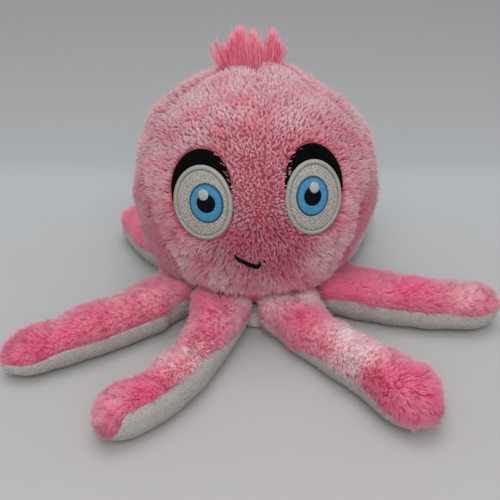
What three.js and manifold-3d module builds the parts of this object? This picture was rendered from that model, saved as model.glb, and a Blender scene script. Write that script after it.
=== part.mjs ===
// A plush octopus: one ball for head and body, eight soft arms that lie on the floor around it,
// appliqued eyes, a stitched smile and a tuft of hair in the crown seam.
// Sizes are in millimetres, angles in degrees. +Z is up, the face looks towards -Y,
// and the origin is the middle of the flat under the body, on the floor.
import * as THREE from 'three';
import { mergeVertices } from 'three/addons/utils/BufferGeometryUtils.js';
import Module from 'manifold-3d';

const wasm = await Module();
wasm.setup();

// Head and body: one ball, a little fuller below its middle
const headWidth = 166;
const headDepth = 154;
const headHeight = 164;
const headLowerFullness = 2.2;
const floorFlat = 0.5;
const headSegments = 24;
const headRows = 12;

// Cloth and the gaps between sewn pieces
const plushThickness = 6;
const velourThickness = 2;
const armSideThickness = 3.6;
const seamGap = 0.3;
const baseSeamHeight = 15;

// Where the face panel meets the side of the head: distance in front of the middle, at each height
const faceSeam = [
  [26, -20], [34, 15], [49, 34], [58, 56], [54, 73], [44, 92], [26, 111], [11, 136], [0, 164], [-6, 200],
];

// Arms
const armWidth = 40;
const armHeight = 35.5;
const armRootRadius = 46;
const armTipLength = 18;
const armSquareness = 2.35;
const armWaist = 0.93;
const armSeamHeight = 14;
const armNeighbourGap = 1.2;
const armPartingLength = 38;
const armPivotHeight = 35;
const armRings = 8;
const armSides = 10;
const armTipShare = 0.63;

// Each arm: its root's place round the body, its heading at root, middle and tip, and its length.
// Zero is straight ahead, towards -Y, and positive turns towards +X.
const arms = [
  { name: 'arm_front_left', root: -25, heading: [-14, -24, -58], length: 132, fatTip: 1.0 },
  { name: 'arm_front_right', root: 21, heading: [12, 42, 28], length: 126, fatTip: 1.07 },
  { name: 'arm_right', root: 60, heading: [60, 78, 87], length: 110, fatTip: 1.0 },
  { name: 'arm_rear_right', root: 110, heading: [130, 166, 180], length: 104, fatTip: 1.0 },
  { name: 'arm_back_right', root: 154, heading: [166, 184, 194], length: 104, fatTip: 1.0 },
  { name: 'arm_back_left', root: -162, heading: [-156, -160, -164], length: 104, fatTip: 1.0 },
  { name: 'arm_rear_left', root: -106, heading: [-104, -142, -146], length: 72, fatTip: 0.95 },
  { name: 'arm_left', root: -60, heading: [-40, -56, -59], length: 130, fatTip: 1.0 },
];

// Eyes: where each looks, how far its oval leans outwards, and its stitched fields
const eyeTurn = 23;
const eyeLift = 15;
const eyeLean = 6;
const faceRoll = 3;
const eyeWidth = 39.5;
const eyeHeight = 46;
const eyeBorderWidth = 3.4;
const eyeBorderHeight = 2.2;
const stitchHeight = 1.6;
const stitchGap = 0.3;
const irisWidth = 22;
const irisHeight = 24.4;
const irisInset = 1.1;
const pupilWidth = 12;
const pupilHeight = 11.6;
const glintWidth = 6.8;
const glintRise = 5.2;
const glintOutset = 0.9;
const lidWidth = 43;
const lidHeight = 47.5;
const lidRise = 8.4;
const lidOutset = 2.4;
const ovalSteps = 10;

// Smile: a stitched line under the eyes
const smileHeight = 61;
const smileHalfWidth = 18.5;
const smileDepth = 11.5;
const smileBend = 1.4;
const smileThickness = 2.2;
const smileOffset = 2;
const smileSteps = 12;

// Hair tuft: locks that rise from a cloth tab in the crown seam
const tuftTabWidth = 38;
const tuftTabDepth = 15;
const tuftTabHeight = 3.2;
const tuftShift = -4;
const lockWidth = 8.5;
const lockSides = 5;
const lockSteps = 3;

// Each lock: where it stands on the tab, how far its tip leans, and how high it rises
const locks = [
  { x: -14, y: 0, lean: -11, back: 1, rise: 21 },
  { x: -9, y: 2.5, lean: -5, back: 3, rise: 25 },
  { x: -5, y: -1.5, lean: -2, back: -3, rise: 29 },
  { x: 0, y: 2, lean: 1, back: 4, rise: 28 },
  { x: 4, y: -2, lean: 4, back: -4, rise: 27 },
  { x: 8, y: 1.5, lean: 5, back: 2, rise: 28 },
  { x: 13, y: 0, lean: 10, back: 0, rise: 21 },
];

// Materials
const pinkPlush = new THREE.MeshStandardMaterial({ color: 0xd98a9f, roughness: 0.95, metalness: 0 });
const deepPinkHair = new THREE.MeshStandardMaterial({ color: 0xc95f80, roughness: 0.9, metalness: 0 });
const whiteVelour = new THREE.MeshStandardMaterial({ color: 0xe9e2df, roughness: 0.95, metalness: 0 });
const whiteThread = new THREE.MeshStandardMaterial({ color: 0xe6e1dd, roughness: 0.6, metalness: 0 });
const blueThread = new THREE.MeshStandardMaterial({ color: 0x3f74b4, roughness: 0.55, metalness: 0 });
const blackThread = new THREE.MeshStandardMaterial({ color: 0x1a1a1d, roughness: 0.6, metalness: 0 });
const fibreFill = new THREE.MeshStandardMaterial({ color: 0xf3f2ee, roughness: 1, metalness: 0 });

const radians = THREE.MathUtils.degToRad;
const headCentre = new THREE.Vector3(0, 0, headHeight / 2 - floorFlat);
const reach = 2 * Math.max(headWidth, headDepth, headHeight);

// Turns a closed geometry into a solid that can be joined and cut
function solid(geometry) {
  const bare = geometry.index ? geometry.toNonIndexed() : geometry.clone();
  bare.deleteAttribute('normal');
  bare.deleteAttribute('uv');
  const merged = mergeVertices(bare, 1e-4);
  return new wasm.Manifold(new wasm.Mesh({
    numProp: 3,
    vertProperties: new Float32Array(merged.attributes.position.array),
    triVerts: new Uint32Array(merged.index.array),
  }));
}

function geometryOf(body) {
  const { vertProperties, triVerts } = body.getMesh();
  const geometry = new THREE.BufferGeometry();
  geometry.setAttribute('position', new THREE.BufferAttribute(new Float32Array(vertProperties), 3));
  geometry.setIndex(new THREE.BufferAttribute(new Uint32Array(triVerts), 1));
  geometry.computeVertexNormals();
  return geometry;
}

// Closes a stack of rings into one body, with a point at each end
function skinRings(rings, first, last) {
  const count = rings[0].length;
  const points = [first, ...rings.flat(), last];
  const faces = [];
  const end = points.length - 1;
  for (let side = 0; side < count; side += 1) {
    const next = (side + 1) % count;
    faces.push(0, 1 + next, 1 + side);
    for (let ring = 0; ring < rings.length - 1; ring += 1) {
      const here = 1 + ring * count;
      const beyond = here + count;
      faces.push(here + side, here + next, beyond + next);
      faces.push(here + side, beyond + next, beyond + side);
    }
    faces.push(end, end - count + side, end - count + next);
  }
  const geometry = new THREE.BufferGeometry();
  const flat = points.flatMap((point) => [point.x, point.y, point.z]);
  geometry.setAttribute('position', new THREE.Float32BufferAttribute(flat, 3));
  geometry.setIndex(faces);
  return geometry;
}

function signedPower(value, power) {
  return Math.sign(value) * Math.abs(value) ** power;
}

// The head's form, let out or taken in at its sides, top and bottom
function headForm(side = 0, top = side, bottom = side) {
  const rings = [];
  for (let row = 1; row < headRows; row += 1) {
    const latitude = Math.PI * (row / headRows - 0.5);
    const power = latitude < 0 ? 2 / headLowerFullness : 1;
    const spread = Math.cos(latitude) ** power;
    const rise = signedPower(Math.sin(latitude), power) * (headHeight / 2 + (latitude < 0 ? bottom : top));
    const ring = [];
    for (let step = 0; step < headSegments; step += 1) {
      const turn = 2 * Math.PI * step / headSegments;
      ring.push(new THREE.Vector3(
        (headWidth / 2 + side) * spread * Math.cos(turn),
        (headDepth / 2 + side) * spread * Math.sin(turn),
        headCentre.z + rise,
      ));
    }
    rings.push(ring);
  }
  const low = new THREE.Vector3(0, 0, headCentre.z - headHeight / 2 - bottom);
  const high = new THREE.Vector3(0, 0, headCentre.z + headHeight / 2 + top);
  return solid(skinRings(rings, low, high));
}

// Everything above, or below, a height
function slab(from, to) {
  const box = new THREE.BoxGeometry(4 * reach, 4 * reach, to - from);
  box.translate(0, 0, (from + to) / 2);
  return solid(box);
}

function above(height) {
  return slab(height, height + 2 * reach);
}

function below(height) {
  return slab(height - 2 * reach, height);
}

function beside(from, to) {
  const box = new THREE.BoxGeometry(to - from, 4 * reach, 4 * reach);
  box.translate((from + to) / 2, 0, 0);
  return solid(box);
}

// All that lies in front of the face seam, moved forward by a gap
function inFrontOfSeam(gap) {
  const line = new THREE.SplineCurve(faceSeam.map(([front, height]) => new THREE.Vector2(height, front + gap)));
  const outline = new THREE.Shape();
  outline.moveTo(faceSeam[0][1], reach);
  for (const point of line.getPoints(3 * faceSeam.length)) {
    outline.lineTo(point.x, point.y);
  }
  outline.lineTo(faceSeam[faceSeam.length - 1][1], reach);
  outline.closePath();
  const prism = new THREE.ExtrudeGeometry(outline, { depth: 2 * reach, bevelEnabled: false });
  // Shape x is height, shape y is the distance in front, and the depth runs along X
  const place = new THREE.Matrix4().makeBasis(
    new THREE.Vector3(0, 0, 1),
    new THREE.Vector3(0, -1, 0),
    new THREE.Vector3(1, 0, 0),
  );
  prism.applyMatrix4(place);
  prism.translate(-reach, 0, 0);
  return solid(prism);
}

const group = new THREE.Group();
const standing = above(0);

function addPiece(name, body, material) {
  const mesh = new THREE.Mesh(geometryOf(body), material);
  mesh.name = name;
  group.add(mesh);
}

// Head: a face panel, two back panels and the base panel, sewn round the filling
function addHead() {
  const outside = headForm().intersect(standing);
  const shell = outside.subtract(headForm(-plushThickness, -plushThickness, -velourThickness));
  const plush = shell.intersect(above(baseSeamHeight + seamGap / 2));
  const back = plush.subtract(inFrontOfSeam(0));
  addPiece('head_front_panel', plush.intersect(inFrontOfSeam(seamGap)), pinkPlush);
  addPiece('head_back_left_panel', back.intersect(beside(-reach, -seamGap / 2)), pinkPlush);
  addPiece('head_back_right_panel', back.intersect(beside(seamGap / 2, reach)), pinkPlush);
  addPiece('base_panel', shell.intersect(below(baseSeamHeight - seamGap / 2)), whiteVelour);
  const inset = plushThickness + seamGap;
  addPiece('head_stuffing', headForm(-inset, -inset, -velourThickness - seamGap), fibreFill);
}

// Heading along an arm: three headings joined by a parabola
function headingAt(arm, share) {
  const [root, middle, tip] = arm.heading;
  const turn = root * (1 - share) * (1 - 2 * share) + middle * 4 * share * (1 - share)
    + tip * share * (2 * share - 1);
  return radians(turn);
}

// The distance from a point to the upright plane half-way to a neighbour's root, along a direction
function roomBeside(point, across, arm, neighbour) {
  let middle = (arm.root + neighbour.root) / 2;
  if (Math.abs(arm.root - neighbour.root) > 180) {
    middle += 180;
  }
  const normal = new THREE.Vector2(Math.cos(radians(middle)), Math.sin(radians(middle)));
  const away = Math.abs(point.dot(normal)) - armNeighbourGap / 2;
  return Math.max(away / Math.max(Math.abs(across.dot(normal)), 0.3), 1);
}

// The smaller of two lengths, with a soft change from one to the other
function softLeast(first, second, blend) {
  const mix = THREE.MathUtils.clamp(0.5 + (second - first) / (2 * blend), 0, 1);
  return second + (first - second) * mix - blend * mix * (1 - mix);
}

// An arm's form, taken in by the cloth's thickness: it swells past a slight waist, rests flat on
// the floor and ends in a round tip, and its heel is rounded about the hinge line
function armForm(arm, index, inset) {
  const before = arms[(index + arms.length - 1) % arms.length];
  const after = arms[(index + 1) % arms.length];
  const start = radians(arm.root);
  const point = new THREE.Vector2(Math.sin(start), -Math.cos(start)).multiplyScalar(armRootRadius);
  const tipLength = armTipLength - inset.side;
  const total = arm.length + tipLength;
  const rings = [];
  const stations = [];
  for (let ring = 0; ring <= armRings; ring += 1) {
    const share = ring / armRings;
    const onward = (share - armTipShare) / (1 - armTipShare);
    stations.push(share < armTipShare
      ? inset.root + share / armTipShare * (arm.length - inset.root)
      : arm.length + tipLength * Math.sin(onward * Math.PI / 2 * 0.93));
  }
  let walked = 0;
  const walk = (to) => {
    const steps = 24;
    const stride = (to - walked) / steps;
    for (let step = 0; step < steps; step += 1) {
      const turn = headingAt(arm, Math.min((walked + stride / 2) / arm.length, 1));
      point.add(new THREE.Vector2(Math.sin(turn), -Math.cos(turn)).multiplyScalar(stride));
      walked += stride;
    }
  };
  const ends = [];
  for (const station of stations) {
    walk(station);
    const share = Math.min(station / arm.length, 1);
    const turn = headingAt(arm, share);
    const across = new THREE.Vector2(Math.cos(turn), Math.sin(turn));
    const past = Math.max(station - arm.length, 0) / tipLength;
    const round = Math.sqrt(Math.max(1 - past * past, 0));
    const swell = armWaist + (arm.fatTip - armWaist) * THREE.MathUtils.smoothstep(share, 0.1, 0.95);
    const halfWidth = armWidth / 2 * swell;
    const free = Math.max(station - armPartingLength, 0);
    const left = softLeast(halfWidth, roomBeside(point, across, arm, before) + free, 3) - inset.side;
    const right = softLeast(halfWidth, roomBeside(point, across, arm, after) + free, 3) - inset.side;
    const inboard = Math.max(pivotRadius(arm) - point.length(), 0);
    const heelRadius = armPivotHeight - floorFlat;
    const heel = armPivotHeight - Math.sqrt(Math.max(heelRadius ** 2 - inboard ** 2, 4));
    const bottom = Math.max(heel - 2 * floorFlat, -floorFlat) + inset.bottom;
    const top = armHeight * (0.5 + swell / 2) - inset.top;
    const middle = (top + bottom) / 2;
    const ringPoints = [];
    for (let side = 0; side < armSides; side += 1) {
      const angle = 2 * Math.PI * (side + 0.5) / armSides;
      const wide = signedPower(Math.cos(angle), 2 / armSquareness);
      const tall = signedPower(Math.sin(angle), 2 / armSquareness);
      const shift = wide * round * (wide < 0 ? Math.max(left, 1) : Math.max(right, 1));
      ringPoints.push(new THREE.Vector3(
        point.x + across.x * shift,
        point.y + across.y * shift,
        middle + tall * round * (top - bottom) / 2,
      ));
    }
    rings.push(ringPoints);
    ends.push(new THREE.Vector3(point.x, point.y, middle));
  }
  walk(total);
  const last = new THREE.Vector3(point.x, point.y, ends[ends.length - 1].z);
  return solid(skinRings(rings, ends[0], last));
}

// How far from the middle the head's surface lies at the height where an arm's top seam is sewn
function pivotRadius(arm) {
  const drop = (headCentre.z - armPivotHeight) / (headHeight / 2);
  const spread = (1 - drop ** headLowerFullness) ** (1 / headLowerFullness);
  const turn = radians(arm.root);
  return spread / Math.hypot(Math.sin(turn) / (headWidth / 2), Math.cos(turn) / (headDepth / 2));
}

// Arms: a plush top skin and a velour underside, sewn along both sides round a filling
function addArms() {
  const clearOfHead = headForm(seamGap);
  arms.forEach((arm, index) => {
    const skin = { side: armSideThickness, top: plushThickness, bottom: velourThickness, root: velourThickness };
    const core = {
      side: skin.side + seamGap,
      top: skin.top + seamGap,
      bottom: skin.bottom + seamGap,
      root: skin.root + seamGap,
    };
    const outside = armForm(arm, index, { side: 0, top: 0, bottom: 0, root: 0 }).intersect(standing);
    const shell = outside.subtract(armForm(arm, index, skin)).subtract(clearOfHead);
    const filling = armForm(arm, index, core).subtract(clearOfHead);
    addPiece(`${arm.name}_top`, shell.intersect(above(armSeamHeight + seamGap / 2)), pinkPlush);
    addPiece(`${arm.name}_underside`, shell.intersect(below(armSeamHeight - seamGap / 2)), whiteVelour);
    addPiece(`${arm.name}_stuffing`, filling, fibreFill);
  });
}

function oval(width, height, x = 0, y = 0) {
  const path = new THREE.Shape();
  path.absellipse(x, y, width / 2, height / 2, 0, 2 * Math.PI, false);
  return path;
}

// A flat outline pushed through the head's surface at a place where the surface faces a direction
function throughSurface(shape, turn, lift, lean, steps = ovalSteps) {
  const prism = new THREE.ExtrudeGeometry(shape, { depth: 60, bevelEnabled: false, curveSegments: steps });
  prism.translate(0, 0, -30);
  prism.rotateZ(radians(lean));
  const outward = new THREE.Vector3(
    Math.sin(radians(turn)) * Math.cos(radians(lift)),
    -Math.cos(radians(turn)) * Math.cos(radians(lift)),
    Math.sin(radians(lift)),
  );
  const half = new THREE.Vector3(headWidth, headDepth, headHeight).multiplyScalar(0.5);
  const stretched = outward.clone().multiply(half);
  const place = outward.clone().multiply(half).multiply(half).divideScalar(stretched.length());
  const right = new THREE.Vector3(0, 0, 1).cross(outward).normalize();
  const up = outward.clone().cross(right);
  prism.applyMatrix4(new THREE.Matrix4().makeBasis(right, up, outward).setPosition(place));
  prism.rotateY(radians(-faceRoll));
  prism.translate(headCentre.x, headCentre.y, headCentre.z);
  return solid(prism);
}

// A layer of thread or felt that lies on the head, between two distances from its surface
function layer(from, to) {
  return headForm(to).subtract(headForm(from));
}

// Eyes: each a black lid, a white field with a raised border, and an iris, pupil and glint,
// stitched side by side
function addEyes() {
  const flat = layer(seamGap, stitchHeight);
  const raised = layer(seamGap, eyeBorderHeight);
  for (const [side, sign] of [['left', -1], ['right', 1]]) {
    const cut = (width, height, x = 0, y = 0) => {
      const shape = oval(width, height, sign * x, y);
      return throughSurface(shape, sign * eyeTurn, eyeLift, -sign * eyeLean);
    };
    const gap = 2 * stitchGap;
    const inner = eyeWidth - 2 * eyeBorderWidth;
    const innerHeight = eyeHeight - 2 * eyeBorderWidth;
    const irisHole = cut(irisWidth + gap, irisHeight + gap, -irisInset);
    const pupilHole = cut(pupilWidth + gap, pupilHeight + gap, -irisInset);
    const glintHole = cut(glintWidth + gap, glintWidth + gap, glintOutset, glintRise);
    const eyeHole = cut(eyeWidth + gap, eyeHeight + gap);
    const lid = cut(lidWidth, lidHeight, lidOutset, lidRise).subtract(eyeHole);
    const border = cut(eyeWidth, eyeHeight).subtract(cut(inner + gap, innerHeight + gap));
    const white = cut(inner, innerHeight).subtract(irisHole).subtract(glintHole);
    const iris = cut(irisWidth, irisHeight, -irisInset).subtract(pupilHole).subtract(glintHole);
    const pupil = cut(pupilWidth, pupilHeight, -irisInset).subtract(glintHole);
    addPiece(`eye_${side}_lid`, lid.intersect(flat), blackThread);
    addPiece(`eye_${side}_border`, border.intersect(raised), whiteThread);
    addPiece(`eye_${side}_white`, white.intersect(flat), whiteThread);
    addPiece(`eye_${side}_iris`, iris.intersect(flat), blueThread);
    addPiece(`eye_${side}_pupil`, pupil.intersect(flat), blackThread);
    const glint = cut(glintWidth, glintWidth, glintOutset, glintRise);
    addPiece(`eye_${side}_glint`, glint.intersect(flat), whiteThread);
  }
}

// Smile: one stitched line that rises to both ends
function addMouth() {
  const upper = [];
  const lower = [];
  for (let step = 0; step <= smileSteps; step += 1) {
    const across = 2 * step / smileSteps - 1;
    const rise = smileDepth * Math.abs(across) ** smileBend;
    const x = smileOffset + smileHalfWidth * across;
    const half = smileThickness / 2 * (1 - 0.5 * across * across);
    upper.push(new THREE.Vector2(x, rise + half));
    lower.unshift(new THREE.Vector2(x, rise - half));
  }
  const drop = smileHeight - headCentre.z;
  const outline = new THREE.Shape([...lower, ...upper].map((point) => point.add(new THREE.Vector2(0, drop))));
  const line = throughSurface(outline, 0, 0, 0);
  addPiece('mouth_stitch', line.intersect(layer(seamGap, stitchHeight)), blackThread);
}

// One lock: a tapered strand that bends from upright to its lean
function lockForm(lock, foot) {
  const rings = [];
  for (let step = 0; step <= lockSteps; step += 1) {
    const share = step / (lockSteps + 1);
    const width = lockWidth / 2 * (1 - share) ** 0.7;
    const ring = [];
    for (let side = 0; side < lockSides; side += 1) {
      const angle = 2 * Math.PI * side / lockSides;
      ring.push(new THREE.Vector3(
        lock.x + lock.lean * share * share + width * Math.cos(angle),
        lock.y + lock.back * share * share + width * Math.sin(angle) * 0.7,
        foot + share * lock.rise,
      ));
    }
    rings.push(ring);
  }
  const tip = new THREE.Vector3(lock.x + lock.lean, lock.y + lock.back, foot + lock.rise);
  return solid(skinRings(rings, new THREE.Vector3(lock.x, lock.y, foot), tip));
}

// Hair: the tab that the crown seam holds, and the locks that stand on it
function addHair() {
  const crown = headCentre.z + headHeight / 2;
  const foot = crown - plushThickness / 2;
  const tab = new THREE.ExtrudeGeometry(oval(tuftTabWidth, tuftTabDepth), {
    depth: 4 * plushThickness,
    bevelEnabled: false,
    curveSegments: 8,
  });
  tab.translate(0, 0, crown - 2 * plushThickness);
  let hair = solid(tab).intersect(headForm(tuftTabHeight));
  for (const lock of locks) {
    hair = hair.add(lockForm(lock, foot));
  }
  hair = hair.translate([tuftShift, 0, 0]).subtract(headForm(seamGap));
  addPiece('hair_tuft', hair, deepPinkHair);
}

addHead();
addArms();
addEyes();
addMouth();
addHair();

export default group;
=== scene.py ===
"""Plush octopus: long-pile pink plush on the head and arms, white velour under the arms, appliqued eyes,
a stitched smile and a tuft of hair in the crown seam.
Shapes are worked out in millimetres, in the part's frame, and angles are in radians unless named _deg.
+Z is up, the face looks towards -Y, and the origin is on the floor under the middle of the body."""
import math
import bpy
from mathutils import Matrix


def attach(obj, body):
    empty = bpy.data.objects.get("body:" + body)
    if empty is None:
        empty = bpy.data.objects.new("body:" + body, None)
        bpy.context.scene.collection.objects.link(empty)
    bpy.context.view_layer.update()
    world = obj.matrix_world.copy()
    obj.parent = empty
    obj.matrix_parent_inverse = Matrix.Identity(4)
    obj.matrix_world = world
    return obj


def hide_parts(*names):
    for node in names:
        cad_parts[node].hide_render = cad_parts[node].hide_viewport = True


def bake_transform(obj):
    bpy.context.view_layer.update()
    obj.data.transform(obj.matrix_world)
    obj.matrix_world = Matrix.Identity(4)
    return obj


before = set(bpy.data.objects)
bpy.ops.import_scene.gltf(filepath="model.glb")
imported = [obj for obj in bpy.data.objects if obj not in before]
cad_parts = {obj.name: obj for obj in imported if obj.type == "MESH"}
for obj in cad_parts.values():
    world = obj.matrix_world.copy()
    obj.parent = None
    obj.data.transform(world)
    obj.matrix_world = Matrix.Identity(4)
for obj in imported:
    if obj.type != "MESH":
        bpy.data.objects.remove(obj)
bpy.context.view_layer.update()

from types import SimpleNamespace

import bmesh
import bpy
import numpy as np
from mathutils import Matrix

MM = 0.001

# Camera: the photograph's viewing angle and distance, and where the floor's origin falls in its frame
CAMERA_LIFT_DEG = 31
CAMERA_DISTANCE = 620
FOCAL_PIXELS = 849
IMAGE_PIXELS = 500
FLOOR_ORIGIN_PIXEL = (257, 284)
SENSOR_WIDTH = 36

# The head's form, as the solids have it
HEAD_HALF = np.array([83.0, 77.0, 82.0])
HEAD_MIDDLE = np.array([0.0, 0.0, 81.5])
LOWER_FULLNESS = 2.2
FACE_SEAM = np.array([
    (26, -20), (34, 15), (49, 34), (58, 56), (54, 73), (44, 92), (26, 111), (11, 136), (0, 164), (-6, 200),
])

# The arms' form, as the solids have it, apart from how far before its length a finished tip starts to close
ARM_WIDTH = 40
ARM_HEIGHT = 35.5
ARM_ROOT_RADIUS = 46
ARM_TIP_LENGTH = 18
ARM_SQUARENESS = 2.35
ARM_WAIST = 0.93
ARM_NEIGHBOUR_GAP = 1.2
ARM_PARTING_LENGTH = 38
ARM_PIVOT_HEIGHT = 35
FLOOR_FLAT = 0.5
ROOT_SQUARENESS = 5.0
TIP_EASE = 8
ARMS = [
    ("arm_front_left", -25, (-14, -24, -58), 132, 1.0),
    ("arm_front_right", 21, (12, 42, 28), 126, 1.07),
    ("arm_right", 60, (60, 78, 87), 110, 1.0),
    ("arm_rear_right", 110, (130, 166, 180), 104, 1.0),
    ("arm_back_right", 154, (166, 184, 194), 104, 1.0),
    ("arm_back_left", -162, (-156, -160, -164), 104, 1.0),
    ("arm_rear_left", -106, (-104, -142, -146), 72, 0.95),
    ("arm_left", -60, (-40, -56, -59), 130, 1.0),
]

# Where each finished arm turns from pink to white: the seam's height at its root, over its outer half and round its
# tip, how far the arm is rolled at its root and outwards (how much higher the seam lies on its right side than in its
# middle), and how slim the tip is
ARM_SEAMS = {
    "arm_front_left": (11, 12.2, 11.5, 2, 10.5, 1.0),
    "arm_front_right": (8, 14.5, 10.5, 0, 0, 0.93),
    "arm_left": (18, 16.5, 13, 0, 0, 0.72),
    "arm_right": (19, 17.5, 16, 0, 0, 0.86),
    "arm_rear_left": (15, 15, 12, 0, 0, 0.9),
}
PLAIN_SEAM = (15, 15, 12, 0, 0, 0.9)

# How far the white underside gives way to pink round the end of a tip
ARM_WRAPS = {"arm_front_left": 18}

# How far an arm's root reaches in past the head's plain form, where the finished head is taken in
ARM_TUCKS = {"arm_front_right": 6, "arm_right": 11, "arm_rear_right": 11}

# Where a finished arm is slimmer than its solid: from and to along it, and its shares of the width and height there
ARM_WAISTS = {
    "arm_front_left": (45, 143, 0.8, 0.87),
    "arm_front_right": (40, 106, 0.8, 0.86),
    "arm_left": (52, 112, 0.93, 0.92),
    "arm_right": (40, 110, 1.0, 0.95),
    "arm_rear_left": (10, 90, 0.88, 0.95),
}

# Eyes and smile: placed as the solids have them, with the finished sizes of their fields
EYE_TURN_DEG, EYE_LIFT_DEG, EYE_LEAN_DEG, FACE_ROLL_DEG = 23, 15, 6, 3
EYE_HALF = (19.75, 23.0)
BORDER_WIDTH = 2.6
IRIS_HALF = (11.0, 12.0)
IRIS_PLACES = {"left": (3.2, 0.2), "right": (-1.7, 1.3)}
PUPIL_HALF = (6.0, 5.8)
GLINT_HALF, GLINT_SHIFT = 3.4, (1.4, 5.2)
RIGHT_EYE_SHIFT, RIGHT_EYE_NARROWING = 2.0, 0.95
LID_HALF, LID_SHIFT = (20.2, 23.75), (1.2, 8.4)
EYE_SINK = 0.9
STITCH_BED = 0.3
SMILE_HEIGHT, SMILE_SHIFT, SMILE_HALF_WIDTH, SMILE_DEPTH, SMILE_BEND = 62.5, -1, 18.5, 11.5, 1.4


# ---- Small tools

def unit(vectors):
    """Each vector divided by its own length."""
    return vectors / np.maximum(np.linalg.norm(vectors, axis=-1, keepdims=True), 1e-9)


def smooth(value, low, high):
    """A smooth step from 0 at low to 1 at high: 3t squared minus 2t cubed."""
    share = np.clip((value - low) / (high - low), 0, 1)
    return share * share * (3 - 2 * share)


def signed_power(value, power):
    """The value's size raised to a power, with the value's sign."""
    return np.sign(value) * np.abs(value) ** power


def waves(points, size, seed, count=12):
    """Smooth noise of about unit spread: the sum of plane waves of about one size in seeded directions."""
    draw = np.random.default_rng(seed)
    numbers = unit(draw.normal(size=(count, 3))) * (2 * np.pi / size * draw.uniform(0.6, 1.4, (count, 1)))
    phases = draw.uniform(0, 2 * np.pi, count)
    return np.sin(points @ numbers.T + phases).sum(-1) / math.sqrt(count / 2)


def tangent(direction, normals):
    """The part of a direction that lies in the surface, at unit length."""
    return unit(direction - (direction * normals).sum(-1, keepdims=True) * normals)


def new_object(name, points, faces, material):
    """A smooth mesh object from points in millimetres and an array of faces of one size."""
    mesh = bpy.data.meshes.new(name)
    mesh.vertices.add(len(points))
    mesh.vertices.foreach_set("co", (points * MM).astype(np.float32).ravel())
    mesh.loops.add(faces.size)
    mesh.loops.foreach_set("vertex_index", faces.astype(np.int32).ravel())
    mesh.polygons.add(len(faces))
    mesh.polygons.foreach_set("loop_start", np.arange(0, faces.size, faces.shape[1], dtype=np.int32))
    mesh.polygons.foreach_set("use_smooth", np.ones(len(faces), bool))
    mesh.update(calc_edges=True)
    mesh.materials.append(material)
    piece = bpy.data.objects.new(name, mesh)
    bpy.context.scene.collection.objects.link(piece)
    return piece


def set_attribute(piece, name, values):
    """Stores one number for each vertex, for the piece's material to read."""
    layer = piece.data.attributes.new(name, "FLOAT", "POINT")
    layer.data.foreach_set("value", np.asarray(values, np.float32).ravel())


def points_of(piece):
    """The mesh's vertices, in millimetres."""
    flat = np.zeros(3 * len(piece.data.vertices), np.float32)
    piece.data.vertices.foreach_get("co", flat)
    return flat.reshape(-1, 3).astype(float) / MM


def grid_faces(rows, columns, around):
    """The numbers of a grid's points, with the first column repeated where the grid goes around, and its quads."""
    index = np.arange(rows * columns).reshape(rows, columns)
    if around:
        index = np.concatenate([index, index[:, :1]], 1)
    quads = np.stack([index[:-1, :-1], index[:-1, 1:], index[1:, 1:], index[1:, :-1]], -1).reshape(-1, 4)
    return index, quads


MERGE_METRES, SLIVER_METRES = 0.00001, 0.000002


def close_up(piece, slivers=False):
    """Merges points that coincide, as at a pole, drops slivers where asked, and turns the faces outwards."""
    work = bmesh.new()
    work.from_mesh(piece.data)
    bmesh.ops.remove_doubles(work, verts=work.verts, dist=MERGE_METRES)
    if slivers:
        bmesh.ops.dissolve_degenerate(work, edges=work.edges, dist=SLIVER_METRES)
    bmesh.ops.recalc_face_normals(work, faces=work.faces)
    for face in work.faces:
        face.smooth = True
    work.to_mesh(piece.data)
    work.free()


def shell(name, top, bottom, material, around=False):
    """A closed body between two grids of the same size: both grids' faces, joined by a strip along each rim."""
    rows, columns = top.shape[:2]
    index, quads = grid_faces(rows, columns, around)
    lower = rows * columns
    rims = [index[0, ::-1], index[-1]]
    if not around:
        rims += [index[:, 0], index[::-1, -1]]
    strips = [np.stack([rim[:-1], rim[:-1] + lower, rim[1:] + lower, rim[1:]], -1) for rim in rims]
    faces = np.concatenate([quads, quads[:, ::-1] + lower, *strips])
    piece = new_object(name, np.concatenate([top.reshape(-1, 3), bottom.reshape(-1, 3)]), faces, material)
    close_up(piece, slivers=True)
    return piece


# ---- Materials

def linear(code):
    """A colour's linear values, from its sRGB hex code."""
    parts = [int(code[start:start + 2], 16) / 255 for start in (0, 2, 4)]
    return tuple(part / 12.92 if part <= 0.04045 else ((part + 0.055) / 1.055) ** 2.4 for part in parts) + (1.0,)


def add_node(tree, kind, settings=None, inputs=None):
    """Adds a node. Settings are its own properties; an input is a value, or an output socket to link from."""
    made = tree.nodes.new(kind)
    for key, value in (settings or {}).items():
        setattr(made, key, value)
    for key, value in (inputs or {}).items():
        if isinstance(value, bpy.types.NodeSocket):
            tree.links.new(value, made.inputs[key])
        else:
            made.inputs[key].default_value = value
    return made


def colour_ramp(tree, factor, stops):
    """A ramp through (place, hex colour) stops, read at a factor."""
    made = add_node(tree, "ShaderNodeValToRGB", inputs={"Fac": factor})
    elements = made.color_ramp.elements
    while len(elements) < len(stops):
        elements.new(0.5)
    for element, (place, code) in zip(elements, stops):
        element.position = place
        element.color = linear(code)
    return made.outputs["Color"]


def mixed(tree, share, first, second, blend="MIX"):
    """Two colours mixed by a share."""
    made = add_node(tree, "ShaderNodeMix", {"data_type": "RGBA", "blend_type": blend})
    for socket, value in ((0, share), (6, first), (7, second)):
        if isinstance(value, bpy.types.NodeSocket):
            tree.links.new(value, made.inputs[socket])
        else:
            made.inputs[socket].default_value = value
    return made.outputs[2]


def multiplied(tree, first, second):
    """One colour times another."""
    return mixed(tree, 1.0, first, second, "MULTIPLY")


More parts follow.
